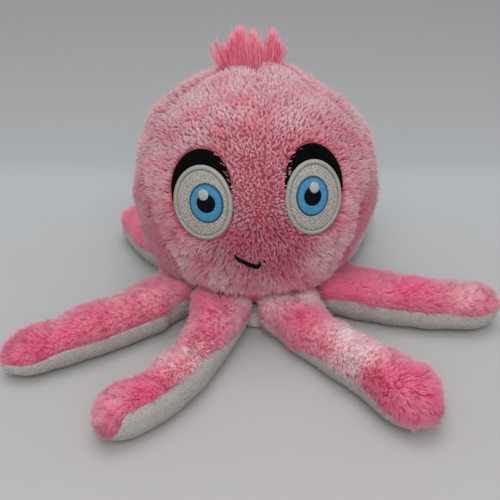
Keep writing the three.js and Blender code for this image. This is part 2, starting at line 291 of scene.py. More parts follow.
def new_material(name, build):
    """A material whose surface is one Principled shader; build(tree) gives that shader's inputs."""
    material = bpy.data.materials.new(name)
    material.use_nodes = True
    tree = material.node_tree
    tree.nodes.clear()
    shader = add_node(tree, "ShaderNodeBsdfPrincipled", inputs=build(tree))
    add_node(tree, "ShaderNodeOutputMaterial", inputs={"Surface": shader.outputs["BSDF"]})
    return material


def noise(tree, size_mm, detail=2.0, roughness=0.5):
    """Noise over the piece's own coordinates, with features of about a size in millimetres."""
    place = add_node(tree, "ShaderNodeTexCoord").outputs["Object"]
    inputs = {"Vector": place, "Scale": 1 / (size_mm * MM), "Detail": detail, "Roughness": roughness}
    return add_node(tree, "ShaderNodeTexNoise", inputs=inputs).outputs["Fac"]


def bump(tree, strength, depth_mm, size_mm):
    """Normals bent by noise of about a depth and a size in millimetres."""
    inputs = {"Strength": strength, "Distance": depth_mm * MM, "Height": noise(tree, size_mm)}
    return add_node(tree, "ShaderNodeBump", inputs=inputs).outputs["Normal"]


def attribute(tree, name):
    """A number that the piece stores for each of its vertices."""
    return add_node(tree, "ShaderNodeAttribute", {"attribute_name": name}).outputs["Fac"]


# Tie-dyed polyester: pale where the dye missed, hot pink where it pooled
DYE_STOPS = [(0.0, "ffe9ea"), (0.25, "ffc8d0"), (0.5, "ffa0b4"), (0.72, "ff83a6"), (1.0, "ff6697")]


def plush_pile(tree):
    """Brushed polyester pile. Each lock is deep and warm at its root, as painted shade deep in the pile, and pales to
    a dry, faintly bright tip, partly the fibre's pale end and partly a painted highlight.
    """
    dyed = colour_ramp(tree, attribute(tree, "tone"), DYE_STOPS)
    along = attribute(tree, "along")
    # painted shade: each lock darkens towards its root, as deep in the pile
    root = colour_ramp(tree, along, [(0.0, "8e465a"), (0.4, "d999a8"), (0.78, "ffffff")])
    shaded = multiplied(tree, dyed, root)
    # painted shade: whole locks darkened by the value that build_pile stores for each
    painted_shade_colour = colour_ramp(tree, attribute(tree, "dusk"), [(0.0, "ffffff"), (0.6, "d8c7cb"), (1.0, "a98b93")])
    shaded = multiplied(tree, shaded, painted_shade_colour)
    # partly painted highlight: the tips are mixed towards near white
    bright = mixed(tree, colour_ramp(tree, along, [(0.6, "000000"), (1.0, "565656")]), shaded, linear("fff2f2"))
    return {
        "Base Color": bright,
        "Roughness": 0.85,
        "Sheen Weight": 0.6,
        "Sheen Roughness": 0.5,
        "Sheen Tint": linear("f6dcdf"),
        "IOR": 1.54,
    }


def plush_backing(tree):
    """The knitted ground that the pile grows from: the same dye, darker as painted shade for the shadow of the locks
    over it.
    """
    dyed = colour_ramp(tree, attribute(tree, "tone"), DYE_STOPS)
    shade = colour_ramp(tree, noise(tree, 2.0), [(0.3, "c98492"), (0.7, "dc9caa")])
    return {
        "Base Color": multiplied(tree, dyed, shade),
        "Roughness": 0.95,
        "Normal": bump(tree, 0.5, 0.4, 0.8),
        "IOR": 1.54,
    }


def velour_pile(tree):
    """Short white polyester velour: matt, slightly warm, greyer towards the roots as painted shade between the tufts.
    """
    shade = colour_ramp(tree, attribute(tree, "along"), [(0.0, "aba49f"), (0.6, "d9d2ce"), (1.0, "e4dedb")])
    fleck = colour_ramp(tree, noise(tree, 3.0), [(0.3, "efebe8"), (0.7, "ffffff")])
    return {
        "Base Color": multiplied(tree, shade, fleck),
        "Roughness": 0.9,
        "Sheen Weight": 0.2,
        "Sheen Roughness": 0.5,
        "IOR": 1.54,
    }


def velour_backing(tree):
    """The velour's knitted ground, which shows where the pile is pressed against the floor, greyed with painted shade
    to match the pile's shaded look.
    """
    shade = colour_ramp(tree, noise(tree, 1.2), [(0.3, "a5a19c"), (0.7, "c2beb9")])
    return {"Base Color": shade, "Roughness": 0.92, "Normal": bump(tree, 0.9, 0.8, 0.9), "IOR": 1.54}


def lid_felt(tree):
    """Dense black polyester felt: a fine matt fleck that keeps it from looking like a hole."""
    shade = colour_ramp(tree, noise(tree, 0.9), [(0.35, "000000"), (0.65, "070506")])
    return {"Base Color": shade, "Roughness": 0.95, "Specular IOR Level": 0.08, "Normal": bump(tree, 0.7, 0.3, 0.7)}


def thread(dark, light, roughness=0.5, fleck_mm=0.9, fleck="e3e0de", gloss=0.3):
    """Rayon embroidery thread: `stitch` runs 0 to 1 across each stitch, with painted shade at its edges and a painted
    highlight along its middle, and a soft gloss.
    """
    def build(tree):
        shade = colour_ramp(tree, attribute(tree, "stitch"), [(0.0, dark), (0.7, light)])
        flecks = colour_ramp(tree, noise(tree, fleck_mm), [(0.35, fleck), (0.65, "ffffff")])
        return {
            "Base Color": multiplied(tree, shade, flecks),
            "Roughness": roughness,
            "Normal": bump(tree, 0.35, 0.2, 0.6),
            "Specular IOR Level": gloss,
        }
    return build


def tuft_hair(tree):
    """Long-pile faux hair: hot pink fibres that go pale and thin at their ends, darker near their roots as painted
    shade inside the tuft.
    """
    tone = colour_ramp(tree, attribute(tree, "tone"), [(0.0, "ffb9c6"), (0.45, "ff84a2"), (1.0, "f84a7e")])
    # painted shade: fibres darken towards their roots
    root = colour_ramp(tree, attribute(tree, "along"), [(0.0, "d898a6"), (0.25, "ffffff"), (1.0, "ffffff")])
    shaded = multiplied(tree, tone, root)
    ends = colour_ramp(tree, attribute(tree, "along"), [(0.7, "000000"), (1.0, "5a5a5a")])
    return {
        "Base Color": mixed(tree, ends, shaded, linear("ffd9dd")),
        "Roughness": 0.6,
        "Sheen Weight": 0.15,
        "IOR": 1.54,
    }


def fibre_fill(tree):
    """Loose white polyester fibre."""
    shade = colour_ramp(tree, noise(tree, 6.0, 4.0), [(0.3, "dedcd6"), (0.7, "f6f5f1")])
    return {"Base Color": shade, "Roughness": 1.0, "Normal": bump(tree, 0.8, 2.0, 5.0)}


PLUSH_PILE = new_material("brushed pink polyester plush pile", plush_pile)
PLUSH_BACKING = new_material("knitted pink plush backing", plush_backing)
VELOUR_PILE = new_material("white polyester velour pile", velour_pile)
VELOUR_BACKING = new_material("knitted white velour backing", velour_backing)
LID_FELT = new_material("black polyester felt", lid_felt)
BORDER_THREAD = new_material("white rayon thread, satin stitched", thread("7f817b", "a2a49d", 0.45))
WHITE_THREAD = new_material("white rayon thread, fill stitched", thread("79766f", "b4b1aa", 0.6, 1.0, "c4c0ba"))
BLUE_THREAD = new_material("blue rayon thread, fill stitched", thread("14425f", "4593bd", 0.5, 0.9, "d2d6d8"))
BLACK_THREAD = new_material("black rayon thread, satin stitched", thread("020203", "0c0b0f", 0.6, 0.9, "e3e0de", 0.06))
GLINT_THREAD = new_material("off-white rayon thread, satin stitched", thread("848c87", "a9b2ad", 0.45))
TUFT_HAIR = new_material("deep pink long-pile hair", tuft_hair)
FIBRE_FILL = new_material("white polyester fibre filling", fibre_fill)


# ---- Camera, floor and light

def add_camera():
    """The camera looks along (0, cos lift, -sin lift) from where the floor's origin falls on its pixel."""
    lift = math.radians(CAMERA_LIFT_DEG)
    forward = np.array([0, math.cos(lift), -math.sin(lift)])
    right = np.array([1.0, 0, 0])
    up = np.cross(right, forward)
    shift_x = (FLOOR_ORIGIN_PIXEL[0] - IMAGE_PIXELS / 2) / FOCAL_PIXELS * CAMERA_DISTANCE
    shift_y = -(FLOOR_ORIGIN_PIXEL[1] - IMAGE_PIXELS / 2) / FOCAL_PIXELS * CAMERA_DISTANCE
    place = -(forward * CAMERA_DISTANCE + right * shift_x + up * shift_y) * MM
    camera = bpy.data.objects.new("camera", bpy.data.cameras.new("camera"))
    camera.data.sensor_width = SENSOR_WIDTH
    camera.data.lens = FOCAL_PIXELS / IMAGE_PIXELS * SENSOR_WIDTH
    camera.data.clip_start = 0.01
    camera.data.clip_end = 30
    axes = Matrix([(*row, 0) for row in np.stack([right, up, -forward], 1)] + [(0, 0, 0, 1)])
    camera.matrix_world = Matrix.Translation(place) @ axes
    bpy.context.scene.collection.objects.link(camera)
    bpy.context.scene.camera = camera


# The paper's greys over its depth, from the near edge of the view to the far one (Y in metres): painted shade greys it
# far behind the toy, where a backdrop would rise
PAPER_NEAR, PAPER_FAR = -0.25, 0.80
PAPER_STOPS = [(0.0, "afadab"), (0.12, "adacab"), (0.28, "abadad"), (0.40, "acb1b2"), (0.44, "a3a7a8"),
               (0.55, "a0a1a2"), (0.75, "9d9d9e"), (1.0, "9a9a9b")]


def paper(tree):
    """Flat pale grey backdrop paper, with painted shade that greys it far behind the toy, as where such paper is let
    rise.
    """
    place = add_node(tree, "ShaderNodeTexCoord").outputs["Object"]
    depth = add_node(tree, "ShaderNodeSeparateXYZ", inputs={"Vector": place}).outputs["Y"]
    span = {"Value": depth, "From Min": PAPER_NEAR, "From Max": PAPER_FAR}
    share = add_node(tree, "ShaderNodeMapRange", inputs=span).outputs["Result"]
    return {"Base Color": colour_ramp(tree, share, PAPER_STOPS), "Roughness": 0.9, "Specular IOR Level": 0.2}


def add_stage():
    """A flat sheet of paper that reaches far past the view."""
    half = 4000.0
    corners = np.array([(-half, -half, 0), (half, -half, 0), (half, half, 0), (-half, half, 0)])
    floor = new_object("floor_paper", corners, np.array([[0, 1, 2, 3]]), new_material("pale grey paper", paper))


# Lamps: name, place and size in metres, and power in watts. They are aimed a little above the floor's origin
LAMPS = [("overhead_lamp", (-0.10, 0.15, 2.10), 1.3, 14.5), ("front_lamp", (0.05, -1.5, 1.6), 1.5, 24.5)]
LAMP_TARGET = (0, 0, 0.06)
SURROUND_STRENGTH = 0.53


def add_light():
    """A large soft lamp above and a little behind, another in front, and an even pale surround."""
    world = bpy.data.worlds.new("studio")
    bpy.context.scene.world = world
    world.use_nodes = True
    world.node_tree.nodes["Background"].inputs["Color"].default_value = linear("fbfcff")
    world.node_tree.nodes["Background"].inputs["Strength"].default_value = SURROUND_STRENGTH
    for name, place, size, power in LAMPS:
        lamp = bpy.data.lights.new(name, "AREA")
        lamp.shape = "SQUARE"
        lamp.size = size
        lamp.energy = power
        holder = bpy.data.objects.new(name, lamp)
        away = unit(np.array(place) - np.array(LAMP_TARGET))
        side = unit(np.cross([0, 1.0, 0.2], away))
        axes = np.stack([side, np.cross(away, side), away], 1)
        holder.matrix_world = Matrix.Translation(place) @ Matrix([(*row, 0) for row in axes] + [(0, 0, 0, 1)])
        bpy.context.scene.collection.objects.link(holder)


# ---- The head's form

def head_point(turn, latitude, lift):
    """A point of the head: a ball of three half-sizes whose lower half is a little fuller, let out by a lift.
    The level circle is cos(latitude) to a power and the rise is sin(latitude) to that power."""
    power = np.where(latitude < 0, 2 / LOWER_FULLNESS, 1.0)
    spread = np.maximum(np.cos(latitude), 0) ** power
    rise = signed_power(np.sin(latitude), power)
    half = HEAD_HALF + np.asarray(lift)[..., None]
    flat = np.stack([spread * np.sin(turn), -spread * np.cos(turn), rise], -1)
    return HEAD_MIDDLE + half * flat


def head_slope(points, lift=0.0):
    """The head form's level (1 on its surface, let out by a lift) and that level's slope, at points in space."""
    half = HEAD_HALF + lift
    local = (points - HEAD_MIDDLE) / half
    power = np.where(local[..., 2] < 0, LOWER_FULLNESS, 2.0)
    ring = np.maximum(np.hypot(local[..., 0], local[..., 1]), 1e-6)
    level = ring ** power + np.abs(local[..., 2]) ** power
    flat = power * ring ** (power - 2)
    tall = power * signed_power(local[..., 2], power - 1)
    return level, np.stack([flat * local[..., 0], flat * local[..., 1], tall], -1) / half


def seam_turn(latitude):
    """How far round from the front the side seam lies: where the seam's front distance meets the head."""
    level = head_point(np.zeros_like(latitude), latitude, np.zeros_like(latitude))
    front = np.interp(level[..., 2], FACE_SEAM[:, 1], FACE_SEAM[:, 0])
    return np.arccos(np.clip(front / np.maximum(-level[..., 1], 0.5), -1, 1))


def groove(distance, furrow):
    """A soft furrow of a depth and a width: a bell curve over the distance from its line."""
    depth, width = furrow
    return depth * np.exp(-(distance / width) ** 2)


# Where the filling swells the upper head (x, y, z and rise), and how wide each swell is
CROWN_LOBES = [(-17, -5, 162, 5.0), (12, -8, 161, 2.4), (-60, 15, 132, 1.2), (-44, 22, 146, 1.6)]
LOBE_WIDTH = 15

# How deep and wide the furrows in the head's cloth are, and how much calmer its lumps are on the face
SIDE_FURROW, DART_FURROW, BACK_FURROW = (2.2, 2.8), (4.0, 3.2), (1.8, 2.6)
FACE_CALM = 0.6

# How many millimetres the level circle's radius is taken as, where a turn is measured as a length
GIRTH_RADIUS = 80

# The base seam's latitude: the plush panels start just above it, and the base ends just below
PANEL_EDGE_DEG, BASE_SEAM_DEG, BASE_EDGE_DEG = -52.6, -52.7, -52.8


def head_relief(turn, latitude):
    """How far the cloth stands off the plain form: soft lumps of filling, two lobes at the crown, and furrows
    along the side seams, the crown dart and the back seam. Behind the face both sides are taken in, the right one
    more, and most of all low down."""
    plain = head_point(turn, latitude, np.zeros_like(latitude))
    face = smooth(-plain[..., 1], 45, 65)
    lumps = 1.0 * waves(plain, 48, 11) + 0.45 * waves(plain, 20, 12)
    spread = np.maximum(np.cos(latitude), 0) * GIRTH_RADIUS
    side = (np.abs(turn) - seam_turn(latitude)) * spread
    seams = groove(side, SIDE_FURROW) * smooth(plain[..., 2], 12, 30)
    dart = groove(plain[..., 0] + 1, DART_FURROW) * smooth(plain[..., 1], -52, -24) * (plain[..., 2] > 90)
    dart = np.where(plain[..., 1] < 6, dart, 0)
    back = groove(plain[..., 0], BACK_FURROW) * (plain[..., 1] >= 6)
    lobes = sum(rise * np.exp(-((plain - (x, y, z)) ** 2).sum(-1) / LOBE_WIDTH ** 2) for x, y, z, rise in CROWN_LOBES)
    right_in = 3.2 * smooth(plain[..., 0], 10, 40) * (1 - 0.6 * smooth(plain[..., 0], 50, 70))
    right_in += 3.6 * smooth(plain[..., 0], 50, 80) * smooth(124 - plain[..., 2], 0, 30)
    right_in += 6.0 * smooth(plain[..., 0], 36, 66) * smooth(55 - plain[..., 2], 0, 25)
    left_in = 1.6 * smooth(-plain[..., 0], 50, 75) * smooth(85 - plain[..., 2], 0, 20)
    return lumps * (1 - FACE_CALM * face) + lobes - seams - dart - back - (right_in + left_in) * (1 - face)


def head_spans():
    """The three plush panels: each gives how far round it starts and ends at a latitude."""
    return {
        "head_front": (lambda latitude: -seam_turn(latitude), seam_turn),
        "head_back_left": (lambda latitude: np.full_like(latitude, -np.pi), lambda latitude: -seam_turn(latitude)),
        "head_back_right": (seam_turn, lambda latitude: np.full_like(latitude, np.pi)),
    }


# How long the way up the head is at each latitude, measured on one meridian
LATITUDES = np.linspace(math.radians(PANEL_EDGE_DEG), math.radians(89.6), 400)
MERIDIAN = head_point(np.full_like(LATITUDES, 0.8), LATITUDES, np.zeros_like(LATITUDES))
CLIMB = np.concatenate([[0], np.cumsum(np.linalg.norm(np.diff(MERIDIAN, axis=0), axis=1))])


def head_skin(start, end, inset):
    """A head panel as a surface of two numbers: how far up from the base seam, and what share across."""
    def place(along, share):
        latitude = np.interp(along, CLIMB, LATITUDES)
        turn = start(latitude) * (1 - share) + end(latitude) * share
        points = head_point(turn, latitude, head_relief(turn, latitude) - inset)
        return points, unit(head_slope(points)[1])

    def girth(along):
        latitude = np.interp(along, CLIMB, LATITUDES)
        return (end(latitude) - start(latitude)) * np.maximum(np.cos(latitude), 0.0) * GIRTH_RADIUS

    return SimpleNamespace(length=CLIMB[-1], girth=girth, place=place)


# ---- The arms' form

LINE_STEP = 0.25
# Over how many millimetres an arm's own half-width and the room beside it are blended
ROOM_BLEND = 6


def arm_line(number):
    """An arm's middle line and half-widths, at stations a small step apart. Its heading is a parabola
    through three headings, and its place is the sum of steps along that heading. Each half-width is the smaller,
    softly blended, of the arm's own and the room up to the plane half-way to the neighbour's root."""
    name, root, heading, length, fat_tip = ARMS[number]
    station = np.arange(0, length + ARM_TIP_LENGTH + 0.3, LINE_STEP)
    share = np.minimum(station / length, 1)
    turn_deg = (heading[0] * (1 - share) * (1 - 2 * share) + heading[1] * 4 * share * (1 - share)
                + heading[2] * share * (2 * share - 1))
    turn = np.radians(turn_deg)
    steps = np.stack([np.sin(turn), -np.cos(turn)], -1) * LINE_STEP
    start = ARM_ROOT_RADIUS * np.array([math.sin(math.radians(root)), -math.cos(math.radians(root))])
    line = start + np.concatenate([np.zeros((1, 2)), np.cumsum((steps[1:] + steps[:-1]) / 2, axis=0)])
    across = np.stack([np.cos(turn), np.sin(turn)], -1)
    swell = ARM_WAIST + (fat_tip - ARM_WAIST) * smooth(share, 0.1, 0.95)
    own = ARM_WIDTH / 2 * swell
    sides, fills = [], []
    for other in (ARMS[number - 1], ARMS[(number + 1) % len(ARMS)]):
        middle = math.radians((root + other[1]) / 2 + (180 if abs(root - other[1]) > 180 else 0))
        normal = np.array([math.cos(middle), math.sin(middle)])
        away = np.abs(line @ normal) - ARM_NEIGHBOUR_GAP / 2
        touching = np.maximum(away / np.maximum(np.abs(across @ normal), 0.3), 1)
        room = touching + np.maximum(station - ARM_PARTING_LENGTH, 0)
        mix = np.clip(0.5 + (room - own) / ROOM_BLEND, 0, 1)
        sides.append(room + (own - room) * mix - ROOM_BLEND / 2 * mix * (1 - mix))
        fills.append(np.clip(touching - sides[-1], 0, 5) * (1 - smooth(station, 8, 26)))
    drop = (HEAD_MIDDLE[2] - ARM_PIVOT_HEIGHT) / HEAD_HALF[2]
    spread = (1 - drop ** LOWER_FULLNESS) ** (1 / LOWER_FULLNESS)
    bearing = math.radians(root)
    pivot = spread / math.hypot(math.sin(bearing) / HEAD_HALF[0], math.cos(bearing) / HEAD_HALF[1])
    inboard = np.maximum(pivot - np.linalg.norm(line, axis=1), 0)
    heel_radius = ARM_PIVOT_HEIGHT - FLOOR_FLAT
    heel = ARM_PIVOT_HEIGHT - np.sqrt(np.maximum(heel_radius ** 2 - inboard ** 2, 4))
    bottom = np.maximum(heel - 2 * FLOOR_FLAT, 0)
    top = ARM_HEIGHT * (0.5 + swell / 2)
    return SimpleNamespace(name=name, number=number, length=length, station=station, line=line, across=across,
                           left=sides[0], right=sides[1], left_fill=fills[0], right_fill=fills[1],
                           bottom=bottom, top=top, pivot=pivot, bearing=bearing)


def tip_slimness(arm, station):
    """What share of its height an arm keeps: all of it along the arm, and less towards a slim tip."""
    slim = ARM_SEAMS.get(arm.name, PLAIN_SEAM)[-1]
    return 1 - (1 - slim) * smooth(station, arm.length - 48, arm.length + 4)


def waist_shares(arm, station):
    """An arm's shares of its solid's width and height: less than 1 over its waist, with soft ends."""
    first, last, wide, high = ARM_WAISTS.get(arm.name, (0, 0, 1.0, 1.0))
    held = smooth(station, first - 22, first + 22) * (1 - smooth(station, last - 18, last + 18))
    return 1 - (1 - wide) * held, 1 - (1 - high) * held


def squareness(station, up):
    """The power of a section: squarer above its middle near the root, where neighbouring arms are pressed together."""
    return ARM_SQUARENESS + (ROOT_SQUARENESS - ARM_SQUARENESS) * (1 - smooth(station, 8, 30)) * (up > 0)


def arm_point(arm, station, angle, side, top, bottom):
    """A point of an arm, taken in at its sides, top and bottom: across is cos(angle) and up is sin(angle), each to
    the power 2 over the section's squareness. Near the root the upper flanks swell out to meet the neighbours. Past
    the arm's length a quarter circle closes the tip."""
    def at(values):
        return np.interp(station, arm.station, values)
    past = np.clip((station - arm.length + TIP_EASE) / (ARM_TIP_LENGTH + TIP_EASE - side), 0, 1)
    closing = np.sqrt(1 - past ** 2)
    power = squareness(station, np.sin(angle))
    wide = signed_power(np.cos(angle), 2 / power)
    tall = signed_power(np.sin(angle), 2 / power)
    slim = tip_slimness(arm, station)
    fill = np.where(wide < 0, at(arm.left_fill), at(arm.right_fill)) * smooth(np.sin(angle), -0.7, 0.2)
    width_share, height_share = waist_shares(arm, station)
    room = (np.where(wide < 0, at(arm.left), at(arm.right)) + fill - side) * (0.3 + 0.7 * slim) * width_share
    shift = wide * closing * np.maximum(room, 1)
    high, low = (at(arm.top) - top) * slim * height_share, at(arm.bottom) + bottom
    return np.stack([
        at(arm.line[:, 0]) + at(arm.across[:, 0]) * shift,
        at(arm.line[:, 1]) + at(arm.across[:, 1]) * shift,
        (high + low) / 2 + tall * closing * (high - low) / 2,
    ], -1)


def seam_height(arm, station, sign):
    """How high the seam lies on an arm's right (sign 1) or left (sign -1) side."""
    root, outer, tip, roll, outer_roll, _ = ARM_SEAMS.get(arm.name, PLAIN_SEAM)
    share = smooth(station, 30, arm.length * 0.6)
    height = root + (outer - root) * share + (roll + (outer_roll - roll) * share) * sign
    height = height - ARM_WRAPS.get(arm.name, 0) * smooth(station, arm.length - 2, arm.length + 14)
    return height + (tip - outer) * smooth(station, arm.length - 22, arm.length + 6)


def arm_seam_angle(arm, station, side, top, bottom, height):
    """The angle at which an arm's section crosses a height, from straight down to straight up."""
    past = np.clip((station - arm.length + TIP_EASE) / (ARM_TIP_LENGTH + TIP_EASE - side), 0, 1)
    closing = np.maximum(np.sqrt(1 - past ** 2), 0.01)
    high = (np.interp(station, arm.station, arm.top) - top) * tip_slimness(arm, station)
    high = high * waist_shares(arm, station)[1]
    low = np.interp(station, arm.station, arm.bottom) + bottom
    tall = np.clip((height - (high + low) / 2) / (closing * (high - low) / 2), -1, 1)
    return np.arcsin(signed_power(tall, squareness(station, tall) / 2))


# How far soft lumps lift an arm's skins
SKIN_RELIEF = {"top": 0.8, "underside": 0.3}


def arm_skin(arm, side, top, bottom, part):
    """An arm's top or underside as a surface of two numbers: how far along it, and what share across. The way
    along is measured over the top line, so that it keeps its pace round the tip."""
    relief = SKIN_RELIEF[part]
    tip = ARM_TIP_LENGTH - side
    turn = np.linspace(0, 1, 60) * np.pi / 2
    station_of = np.concatenate([np.arange(0, arm.length - TIP_EASE, 1.0),
                                 arm.length - TIP_EASE + (tip + TIP_EASE) * np.sin(turn)])
    line = arm_point(arm, station_of, np.full_like(station_of, np.pi / 2), side, top, bottom)
    walked = np.concatenate([[0], np.cumsum(np.linalg.norm(np.diff(line, axis=0), axis=1))])

    def surface(along, share):
        station = np.interp(along, walked, station_of)
        right, left = (arm_seam_angle(arm, station, side, top, bottom, seam_height(arm, station, sign))
                       for sign in (1, -1))
        if part == "top":
            angle = right + (np.pi - left - right) * share
        else:
            angle = np.pi - left + (np.pi + left + right) * share
        return arm_point(arm, station, angle, side, top, bottom)

    def place(along, share):
        along = np.minimum(along, walked[-1] - 0.4)
        points = surface(along, share)
        onward = surface(along + 0.3, share) - surface(along - 0.3, share)
        round_it = surface(along, share + 0.01) - surface(along, share - 0.01)
        normals = unit(np.cross(round_it, onward))
        points = points + normals * (relief * waves(points, 26, 20 + arm.number))[:, None]
        points[:, 2] = np.maximum(points[:, 2], bottom / 2)
        return points, normals

    rows, columns = 120, 25
    lengths = np.linspace(0, walked[-1], rows)
    grid = surface(np.repeat(lengths, columns), np.tile(np.linspace(0, 1, columns), rows)).reshape(rows, columns, 3)
    around = np.linalg.norm(np.diff(grid, axis=1), axis=2).sum(1)
    return SimpleNamespace(length=walked[-1], girth=lambda along: np.interp(along, lengths, around), place=place)


# ---- Pile: locks of fibre that stand on a skin

LOCK_SIDES = 3

# Locks that stand off: how much longer they are, how much they still lean, are held to their clump, and are wide
FLYAWAY_LENGTH, FLYAWAY_LEAN, FLYAWAY_HOLD, FLYAWAY_WIDTH = 1.4, 0.5, 0.3, 0.6


def even(value):
    """A measure that is the same at every point."""
    return lambda points: np.full(len(points), float(value))


def pile_style(**own):
    """How a pile stands and is shaded. A pair is for loose and for brushed pile.
    spacing: from row to row. radius: of a lock at its root. clump: the pair of sizes of a clump of locks.
    tuft: the size of a tuft of clumps, how far brushed locks are drawn to its middle, and how far it strays.
    stray, own_stray: how far a clump and a lock leave the comb. pull: a pair, how far a lock is drawn to its clump.
    flyaway: the share of locks that stand off. floor: the lowest that a lock may lie.
    relief: how round each lock is shaded. depth: a pair, how bright roots are against their painted shade. lit: the
    painted brightness of all of it.
    streak: a pair, how far clumps differ in dye. mottle, dusk: how much painted shade darkens some clumps and the rims
    of tufts.
    The rest are measures at points: comb, length, lean, brushed, calm (fine and even, with less painted shade and
    brighter roots), near_root (painted light on the roots) and shade (more painted shade, or painted light where below
    0)."""
    plain = {"lit": 1.0, "mottle": 1.0, "calm": even(0), "near_root": even(0), "shade": even(0)}
    return SimpleNamespace(**{**plain, **own})


def scatter(skin, spacing, draw):
    """Places on a skin in jittered rows: the rows are a spacing apart, and each holds as many as its girth fits."""
    rows = np.arange(int(skin.length / spacing))
    counts = np.maximum(np.round(skin.girth((rows + 0.5) * spacing) / spacing), 0).astype(int)
    row = np.repeat(rows, counts)
    column = np.arange(len(row)) - np.repeat(np.cumsum(counts) - counts, counts)
    along = (row + draw.random(len(row))) * spacing
    share = (column + draw.random(len(row))) / counts[row]
    return along, share


def nearest_clump(skin, along, share, size, draw):
    """Each place's nearest clump. Clump centres lie one to a cell in jittered rows a size apart, and the nine
    cells round a place are compared. Gives the centre's two numbers and four draws that the clump shares."""
    rows = int(skin.length / size) + 1
    most = int(skin.girth(np.linspace(0, skin.length, 200)).max() / size) + 3
    jitter = draw.random((rows, most, 2))
    shared = draw.random((rows, most, 4))
    best = np.full(len(along), np.inf)
    found = np.zeros((len(along), 4), float)
    girth = skin.girth(along)
    for step in (-1, 0, 1):
        row = np.clip(np.floor(along / size).astype(int) + step, 0, rows - 1)
        count = np.maximum(np.round(skin.girth((row + 0.5) * size) / size).astype(int), 1)
        for slide in (-1, 0, 1):
            column = np.clip(np.floor(share * count).astype(int) + slide, 0, np.minimum(count, most) - 1)
            centre_along = (row + jitter[row, column, 0]) * size
            centre_share = (column + jitter[row, column, 1]) / count
            distance = np.hypot(centre_along - along, (centre_share - share) * girth)
            closer = distance < best
            best = np.where(closer, distance, best)
            cell = np.stack([centre_along, centre_share, row, column], -1)
            found = np.where(closer[:, None], cell, found)
    row, column = found[:, 2].astype(int), found[:, 3].astype(int)
    return found[:, 0], found[:, 1], shared[row, column]


def clump_middles(skin, along, share, style, draw):
    """Each lock's clump and its tuft: their middles on the skin, the normals there, and the draws that they share.
    Where pile is brushed, most clumps are of the second size."""
    clump_along, clump_share, shared = nearest_clump(skin, along, share, style.clump[0], draw)
    tuft_along, tuft_share, tuft_shared = nearest_clump(skin, along, share, style.tuft[0], draw)
    middle, middle_normals = skin.place(clump_along, clump_share)
    if style.clump[1] != style.clump[0]:
        coarse = style.brushed(middle) > 0.35 + 0.3 * shared[:, 0]
        wide_along, wide_share, wide_shared = nearest_clump(skin, along, share, style.clump[1], draw)
        middle, middle_normals = skin.place(np.where(coarse, wide_along, clump_along),
                                            np.where(coarse, wide_share, clump_share))
        shared = np.where(coarse[:, None], wide_shared, shared)
    heart, heart_normals = skin.place(tuft_along, tuft_share)
    return (SimpleNamespace(points=middle, normals=middle_normals, shared=shared),
            SimpleNamespace(points=heart, normals=heart_normals, shared=tuft_shared))


def lock_tips(points, normals, onward, length, lean):
    """Where locks end. A lock sets off between the normal and its comb direction and turns further over, so its
    tip is its root plus its length times the mean of those two directions."""
    first = unit(normals + 0.35 * lean[:, None] * onward)
    last = unit(0.75 * normals + lean[:, None] * onward)
    return points + length[:, None] * (first + 0.5 * (last - first))


